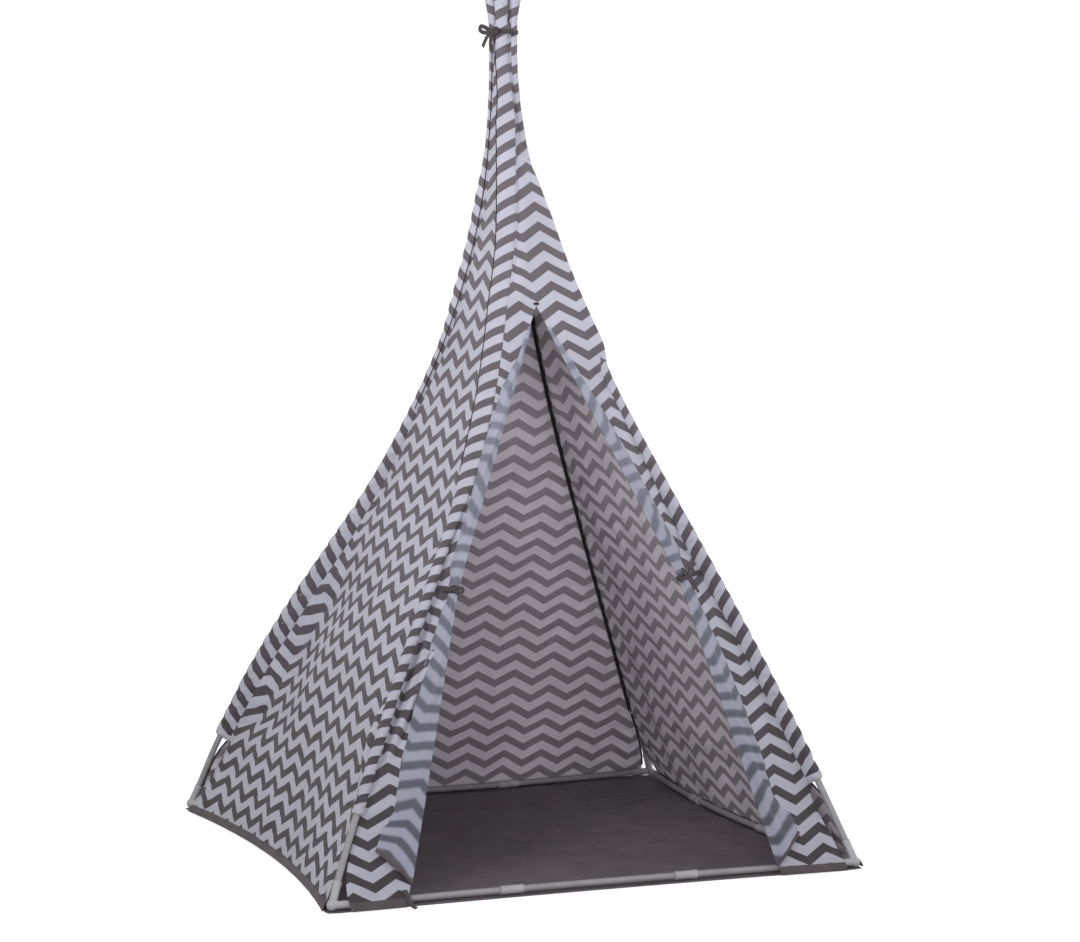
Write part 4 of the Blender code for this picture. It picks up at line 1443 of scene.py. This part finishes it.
def build_seam_tapes(tape):
    """Black tape down the inside of each corner's seam, parting below along the cut edges of the walls."""
    for corner in CORNERS:
        centres, sides = [], []
        for step in range(tape_steps + 1):
            height = blend(tape_branch_height, wall_top - tape_end_gap, step / tape_steps)
            seat = -sleeve_size(corner, height)[1] - tape_thickness
            centres.append(dressed_point(corner, height) + level_offset(corner, height, seat, 0.0))
            sides.append(pole_frame(corner, height)[0])
        piece = band(f"tape_{corner}", centres, sides, tape_width, tape_thickness * 2.0, tape)
        settle(piece, "dark_ribbon", f"seam_tape_{corner}")
        for side, end in ((name, pair.index(corner)) for name, pair in SIDES.items() if corner in pair):
            top = tape_branch_height + tape_branch_overlap
            shares = [step / tape_branch_steps for step in range(tape_branch_steps + 1)]
            inward = side_inward(side)
            centres = [
                wall_edge(side, end, blend(tape_foot, top, share)) + inward * trim_lift for share in shares
            ]
            size = tape_width * 0.5, tape_thickness * 1.6
            settle(band(f"tape_{corner}_{side}", centres, inward, *size, tape, turned=True), "dark_ribbon")


def build_small_trim(ribbon, tape):
    """Bar tack at the doorway's apex and the strap at its left foot."""
    start = Vector(APEX) - side_inward("front") * trim_lift + UP * 0.003
    centres = [start + Vector((bar_tack_half * share, 0.0, 0.0)) for share in (-1.0, -0.5, 0.0, 0.5, 1.0)]
    settle(band("bar_tack", centres, UP, 0.005, 0.002, tape), "dark_ribbon")
    start = Vector((FEET["left"][0], FEET["left"][1] - 0.006, 0.0))
    route = [(-0.014, -0.004, 0.036), (-0.012, -0.01, 0.028), (-0.008, -0.014, 0.016),
             (-0.002, -0.019, 0.006), (0.003, -0.026, 0.002)]
    centres = smooth_path([start + Vector(spot) for spot in route])
    piece = band("foot_strap", centres, Vector((1.0, 0.3, 0.0)), strap_width, strap_thickness, ribbon)
    settle(piece, "dark_ribbon")


# Ground mat

def mat_edge(side, share):
    for end, corner in enumerate(SIDES[side]):
        if abs(share - end) < 1e-6:
            return corner_point(corner) + polar(CORNER_HEADINGS[corner]) * mat_outset
    spread = mat_back_spread * min(12.0 * share * (1.0 - share), 1.0) if side == "back" else 0.0
    return base_point(side, share) - side_inward(side) * (mat_outset + spread)


def mat_rise(u, v):
    """Height of the mat's creases and swells, away from its edge."""
    wander = 0.3 * soft_noise(u * 5.0, v * 5.0, 2.0)
    long_crease = 1.0 - abs(soft_noise(u * 2.4 + wander, v * 3.4, 71.0)) * 2.0
    fine_crease = 1.0 - abs(soft_noise(u * 3.1 + v * 1.6, v * 2.6 - u, 83.0)) * 2.2
    swell = 0.0045 * (0.5 + 0.5 * soft_noise(u * 4.0, v * 5.0, 77.0))
    return max(long_crease, 0.0) ** 9 * 0.011 + max(fine_crease, 0.0) ** 10 * 0.006 + swell


def build_mat(cloth):
    """Thin nylon sheet with creases; its edge follows the bowed ring."""
    points = np.zeros((mat_steps, mat_steps, 3))
    shares = [step / (mat_steps - 1) for step in range(mat_steps)]
    fronts = [mat_edge("front", across) for across in shares]
    rears = [mat_edge("back", 1.0 - across) for across in shares]
    for row, back in enumerate(shares):
        left, right = mat_edge("left", 1.0 - back), mat_edge("right", back)
        for column, across in enumerate(shares):
            point = blend(left, right, across) + blend(fronts[column], rears[column], back)
            point -= blend(blend(fronts[0], fronts[-1], across), blend(rears[0], rears[-1], across), back)
            inner = smooth_share(min(across, 1.0 - across, back, 1.0 - back), 0.0, 0.04)
            points[row, column] = (point.x, point.y, mat_lift + mat_rise(point.x, point.y) * inner)
    piece = cloth_piece("mat_cloth", points, points[:, :, :2], cloth_thickness, [cloth, cloth])
    settle(piece, "mat_nylon", "floor_mat")


# Stage, light and camera

def ray_kind(tree, kind):
    return add_node(tree, "LightPath", {}, f"Is {kind} Ray")


def build_stage():
    mesh = bpy.data.meshes.new("floor")
    reach, level = 40.0, -0.0006
    corners = [(-reach, -reach, level), (reach, -reach, level), (reach, reach, level), (-reach, reach, level)]
    mesh.from_pydata(corners, [], [(0, 1, 2, 3)])
    material, tree, shader = new_material("pale_floor", 0.95, specular=0.0)
    feed(tree, shader, {
        "Base Color": (0.55, 0.55, 0.55, 1.0),
        "Emission Color": WHITE,
        "Emission Strength": math_node(tree, "MULTIPLY", ray_kind(tree, "Camera"), floor_glow),
    })
    mesh.materials.append(material)
    link_object("floor", mesh)

    world = bpy.data.worlds.new("studio")
    bpy.context.scene.world = world
    world.use_nodes = True
    tree = world.node_tree
    tree.nodes.clear()
    seen = math_node(tree, "MAXIMUM", ray_kind(tree, "Camera"), ray_kind(tree, "Glossy"))
    seen = math_node(tree, "MAXIMUM", seen, ray_kind(tree, "Transmission"))
    lit = add_node(tree, "Background", {"Color": (0.97, 0.98, 1.0, 1.0), "Strength": world_strength})
    white = add_node(tree, "Background", {"Color": WHITE, "Strength": 1.0})
    choice = add_node(tree, "MixShader", {0: seen, 1: lit, 2: white})
    tree.links.new(choice, tree.nodes.new("ShaderNodeOutputWorld").inputs[0])


def turned(azimuth, tilt, roll=0.0):
    """A turn from looking straight down: tilted up, then turned about the vertical."""
    tilted = Matrix.Rotation(azimuth, 4, "Z") @ Matrix.Rotation(tilt, 4, "X")
    return tilted @ Matrix.Rotation(roll, 4, "Z")


def build_lights():
    """Distant soft lamps, azimuth 0 shining along +Y and 90 along -X, and the soft box."""
    for name, (azimuth, elevation, spread, strength) in LAMPS.items():
        lamp = bpy.data.lights.new(name, "SUN")
        lamp.angle = radians(spread)
        lamp.energy = strength
        link_object(name, lamp).matrix_world = turned(radians(azimuth), radians(90.0 - elevation))
    lamp = bpy.data.lights.new("soft_box", "AREA")
    lamp.shape = "SQUARE"
    lamp.size = box_size
    lamp.energy = box_power
    aim = (Vector(box_aim) - Vector(box_place)).to_track_quat("-Z", "Y")
    link_object("soft_box", lamp).matrix_world = Matrix.Translation(box_place) @ aim.to_matrix().to_4x4()


def build_camera():
    camera = bpy.data.cameras.new("photo_camera")
    camera.sensor_fit = "HORIZONTAL"
    camera.sensor_width = sensor_width
    camera.lens = focal_pixels * sensor_width / image_width
    camera.dof.use_dof = False
    holder = link_object("photo_camera", camera)
    turn = turned(camera_azimuth, radians(90.0) - camera_elevation, camera_roll)
    holder.matrix_world = Matrix.Translation(camera_place) @ turn
    bpy.context.scene.camera = holder
    bpy.context.scene.view_settings.view_transform = "Standard"


def build_teepee():
    tube = moulded_plastic("tube_plastic", GREY_PLASTIC, 0.38)
    fitting = moulded_plastic("fitting_plastic", PALE_PLASTIC, 0.34)
    face = printed_cloth("print_face", LIGHT_CLOTH, INK)
    # Painted light: the inside face is a paler copy of the print, standing in for light shining through the
    # cloth
    inside = printed_cloth("print_show_through_painted_lit", LIGHT_INSIDE_PAINTED_LIT, INK_SHOW_THROUGH_PAINTED_LIT, sheen=0.02,
                           painted_ink_shade=inside_ink_painted_shade_share)
    reverse = printed_cloth("curtain_reverse", LIGHT_REVERSE, INK_REVERSE, variation=0.14, blur=0.0035)
    hem = plain_cloth("hem_cloth", HEM_CLOTH, 0.001)
    pale = plain_cloth("pale_hem", PALE_HEM, 0.001, 0.12)
    mat = plain_cloth("mat_nylon", MAT_CLOTH, 0.0009, 0.3, 0.62, 0.15, 4.5)
    tape = plain_cloth("black_tape", BLACK_TAPE, 0.001, 0.2, 0.7)
    ribbon = plain_cloth("dark_ribbon", DARK_RIBBON, 0.0009, 0.25, 0.75)
    build_base_ring(tube, fitting)
    build_connectors(fitting)
    build_uprights(tube)
    build_sleeves([face, inside], pale)
    build_seam_line("left", 0, 0.95, tape)
    build_seam_line("left", 1, 0.84, tape)
    build_plain_walls([face, inside], hem)
    build_front_wall([face, inside], hem)
    build_flaps([reverse, face], hem)
    build_door_ties(ribbon)
    build_top_tie(ribbon)
    build_seam_tapes(tape)
    build_small_trim(ribbon, tape)
    build_mat(mat)


build_camera()
build_stage()
build_lights()
build_teepee()

bpy.context.view_layer.update()
